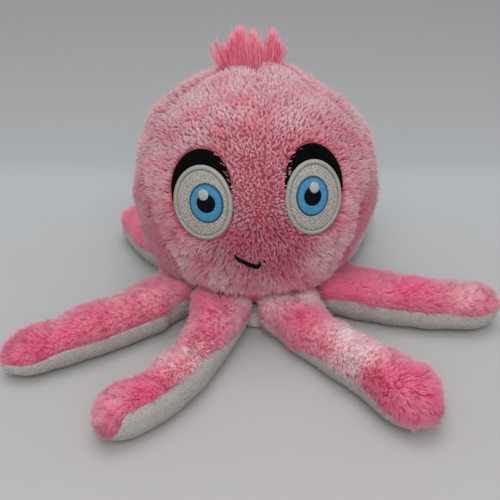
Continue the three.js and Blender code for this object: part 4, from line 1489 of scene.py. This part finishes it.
def arm_velour_style(arm, own):
    """The short, even white pile under an arm, with painted shade where the arm's velour value is below 1."""
    return pile_style(
        spacing=0.85, clump=(1.5, 1.5), radius=0.4, relief=0.4, stray=0.8, own_stray=0.5, pull=(0.4, 0.4),
        floor=0.15, depth=(0.2, 0.2), flyaway=0.0, tuft=(7.0, 0.0, 0.0), dusk=0.0, streak=(0.0, 0.0),
        lit=own.velour, brushed=even(0), comb=arm_comb(arm), length=even(1.9), lean=even(0.8),
    )


def add_arm(number):
    """One arm: its two cloths with their piles, and its filling."""
    arm = arm_line(number)
    own = SimpleNamespace(**{**PLAIN_PILE, **ARM_PILES.get(arm.name, {})})
    base, patches = ARM_DYES[arm.name]
    tone = dye(base, patches, 60 + 3 * number)
    top = arm_cloth(arm, "top", TOP_CLOTH, PLUSH_BACKING, f"{arm.name}_top_cloth")
    set_attribute(top, "tone", tone(points_of(top)))
    under = arm_cloth(arm, "underside", UNDER_CLOTH, VELOUR_BACKING, f"{arm.name}_underside_cloth")
    top_pile = build_pile(
        f"{arm.name}_top_pile", arm_skin(arm, *TOP_ROOTS, "top"), arm_plush_style(arm, own), PLUSH_PILE,
        lambda points: outside_head(points, -3.0 - ARM_TUCKS.get(arm.name, 0)), tone, 70 + number,
    )
    under_pile = build_pile(
        f"{arm.name}_underside_pile", arm_skin(arm, *UNDER_ROOTS, "underside"), arm_velour_style(arm, own),
        VELOUR_PILE, lambda points: outside_head(points, 0.5) & (points[:, 2] > 0.95), even(0), 80 + number,
    )
    filling = arm_filling(arm)
    for piece, slot in ((top, "pink_plush"), (under, "white_velour"), (top_pile, "pink_plush"),
                        (under_pile, "white_velour"), (filling, "fibre_fill")):
        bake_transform(piece)
    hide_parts(f"{arm.name}_top")
    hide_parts(f"{arm.name}_underside")
    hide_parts(f"{arm.name}_stuffing")


def arm_filling(arm):
    """An arm's filling: its form taken in under the cloth, from where it leaves the head to its tip."""
    rows, columns, tip_rows = 60, 36, 14
    angle = np.linspace(0, 2 * np.pi, columns, endpoint=False)
    start = root_starts(lambda along, across: arm_point(arm, along, across, *FILLING_INSETS), angle, 0.4)
    last = arm.length + ARM_TIP_LENGTH - FILLING_INSETS[0]
    closing = np.sin(np.linspace(0, np.pi / 2, tip_rows + 1)[1:])
    pace = np.concatenate([np.linspace(0, 0.9, rows - tip_rows), 0.9 + 0.1 * closing])
    station = start + (last - start) * pace[:, None]
    grid = arm_point(arm, station.ravel(), np.tile(angle, rows), *FILLING_INSETS).reshape(rows, columns, 3)
    cap = grid[:1] * 0 + grid[0].mean(0)
    _, quads = grid_faces(rows + 1, columns, True)
    piece = new_object(f"{arm.name}_filling", np.concatenate([cap, grid]).reshape(-1, 3), quads, FIBRE_FILL)
    close_up(piece)
    return piece


# ---- Build: hair tuft

# Locks of hair: foot (x, y), tip (x, y, z), how far it bows sideways, how many fibres, and its radius at the foot
HAIR_LOCKS = [
    ((-18, 0), (-29.3, 0, 182.2), -3, 18, 1.8), ((-17, 1), (-24.5, 1, 186), -3, 26, 2.0),
    ((-16, 0), (-20.5, -1, 180), -2, 60, 2.2), ((-13.5, -1), (-15.5, 0, 186.5), -1, 110, 2.2),
    ((-10, 0), (-10.9, 0, 191.5), -1.5, 280, 2.5), ((-8, -2), (-7.6, -2, 185.5), 0.5, 170, 2.0),
    ((-4.5, 0), (-3.3, 0, 189.5), 0.5, 280, 2.4), ((-2, -1), (-0.3, -1, 183.5), 0.5, 150, 1.9),
    ((0.5, 0), (2.6, 0, 176), 0.5, 80, 1.7), ((5.2, 0), (9.5, 0, 190.3), 0.3, 240, 1.9),
    ((7, 1), (12.5, 1, 183.5), 0.8, 110, 1.7), ((9, 0), (16, 0, 180.5), 1, 24, 1.6),
    ((10, 0), (19.6, 0, 183.8), 1, 10, 1.4),
]
HAIR_ROOT_HEIGHT = 160


def add_hair():
    """A tab of cloth in the crown seam and pointed locks of hair on it. A lock's middle runs from foot to tip in a
    quadratic bow; each of its fibres starts beside the middle, draws in towards it, and ends short of the tip."""
    turn = np.linspace(0, 2 * np.pi, 48, endpoint=False)[None]
    share = np.linspace(0, 1, 8)[:, None]
    x, y = -5 + 15 * share * np.cos(turn), 4.5 * share * np.sin(turn)
    crown = HEAD_MIDDLE[2] + HEAD_HALF[2] * np.sqrt(1 - (x / HEAD_HALF[0]) ** 2 - (y / HEAD_HALF[1]) ** 2)
    tab_top = np.stack([x, y, crown + 1.2 * (1 - share ** 4) - 3.5], -1)
    tab_bottom = np.stack([x, y, crown - 5.5], -1)
    tab = shell("hair_tuft_tab", tab_top, tab_bottom, TUFT_HAIR, around=True)
    set_attribute(tab, "tone", np.full(len(tab.data.vertices), 0.8))
    set_attribute(tab, "along", np.zeros(len(tab.data.vertices)))
    draw = np.random.default_rng(91)
    table = np.array([(*foot, *tip, bow, radius) for foot, tip, bow, _, radius in HAIR_LOCKS])
    lock = np.repeat(np.arange(len(HAIR_LOCKS)), [row[3] for row in HAIR_LOCKS])
    rows, count = table[lock], len(lock)
    taper = np.array([1.0, 1.0, 0.95, 0.85, 0.7, 0.5])
    times = np.linspace(0, 1, len(taper) + 1)[None]
    ends = 1 - 0.5 * draw.random(count) ** 1.3
    place = times * ends[:, None]
    foot = np.concatenate([rows[:, :2], np.full((count, 1), HAIR_ROOT_HEIGHT)], 1)
    middle = foot[:, None] + place[..., None] * (rows[:, 2:5] - foot)[:, None]
    middle[..., 0] += 4 * place * (1 - place) * rows[:, 5, None]
    loose = np.where(draw.random(count) < 0.32, 3.0, 0.95)
    beside = np.clip(draw.normal(size=(count, 3)), -2, 2) * (0.95, 0.8, 0) * rows[:, 6, None]
    drawn_in = (1 - place ** 1.5) + (0.36 * loose)[:, None] * place
    wave = 0.85 * np.sin(place * 5 + draw.uniform(0, 6.3, (count, 1))) * place
    lines = middle + drawn_in[..., None] * beside[:, None]
    lines[..., 0] += wave
    widths = draw.uniform(0.17, 0.32, count)[:, None] * taper[None, :]
    turn = 2 * np.pi * np.arange(LOCK_SIDES) / LOCK_SIDES
    ring = np.stack([np.cos(turn), np.sin(turn), 0 * turn], -1)
    rings_at = lines[:, :-1, None] + widths[:, :, None, None] * ring[None, None]
    vertices = np.concatenate([rings_at.reshape(count, -1, 3), lines[:, -1:]], 1)
    hair, chart = lock_object("hair_tuft_fibres", vertices, len(taper), LOCK_SIDES, TUFT_HAIR)
    along = np.concatenate([np.repeat(place[:, :-1], LOCK_SIDES, 1), place[:, -1:]], 1)
    set_attribute(hair, "along", along)
    shade = 0.3 * draw.random(len(HAIR_LOCKS))[lock] + 0.7 * draw.random(count)
    set_attribute(hair, "tone", np.repeat(shade, vertices.shape[1]))
    chart_locks(hair, count, chart)
    for piece in (tab, hair):
        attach(piece, "head")
    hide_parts("hair_tuft")


# ---- Put together

bpy.context.scene.view_settings.view_transform = "Standard"
add_camera()
add_stage()
add_light()
add_head()
add_eye("left", -1)
add_eye("right", 1)
add_mouth(FACE)
for arm_number in range(len(ARMS)):
    add_arm(arm_number)
add_hair()
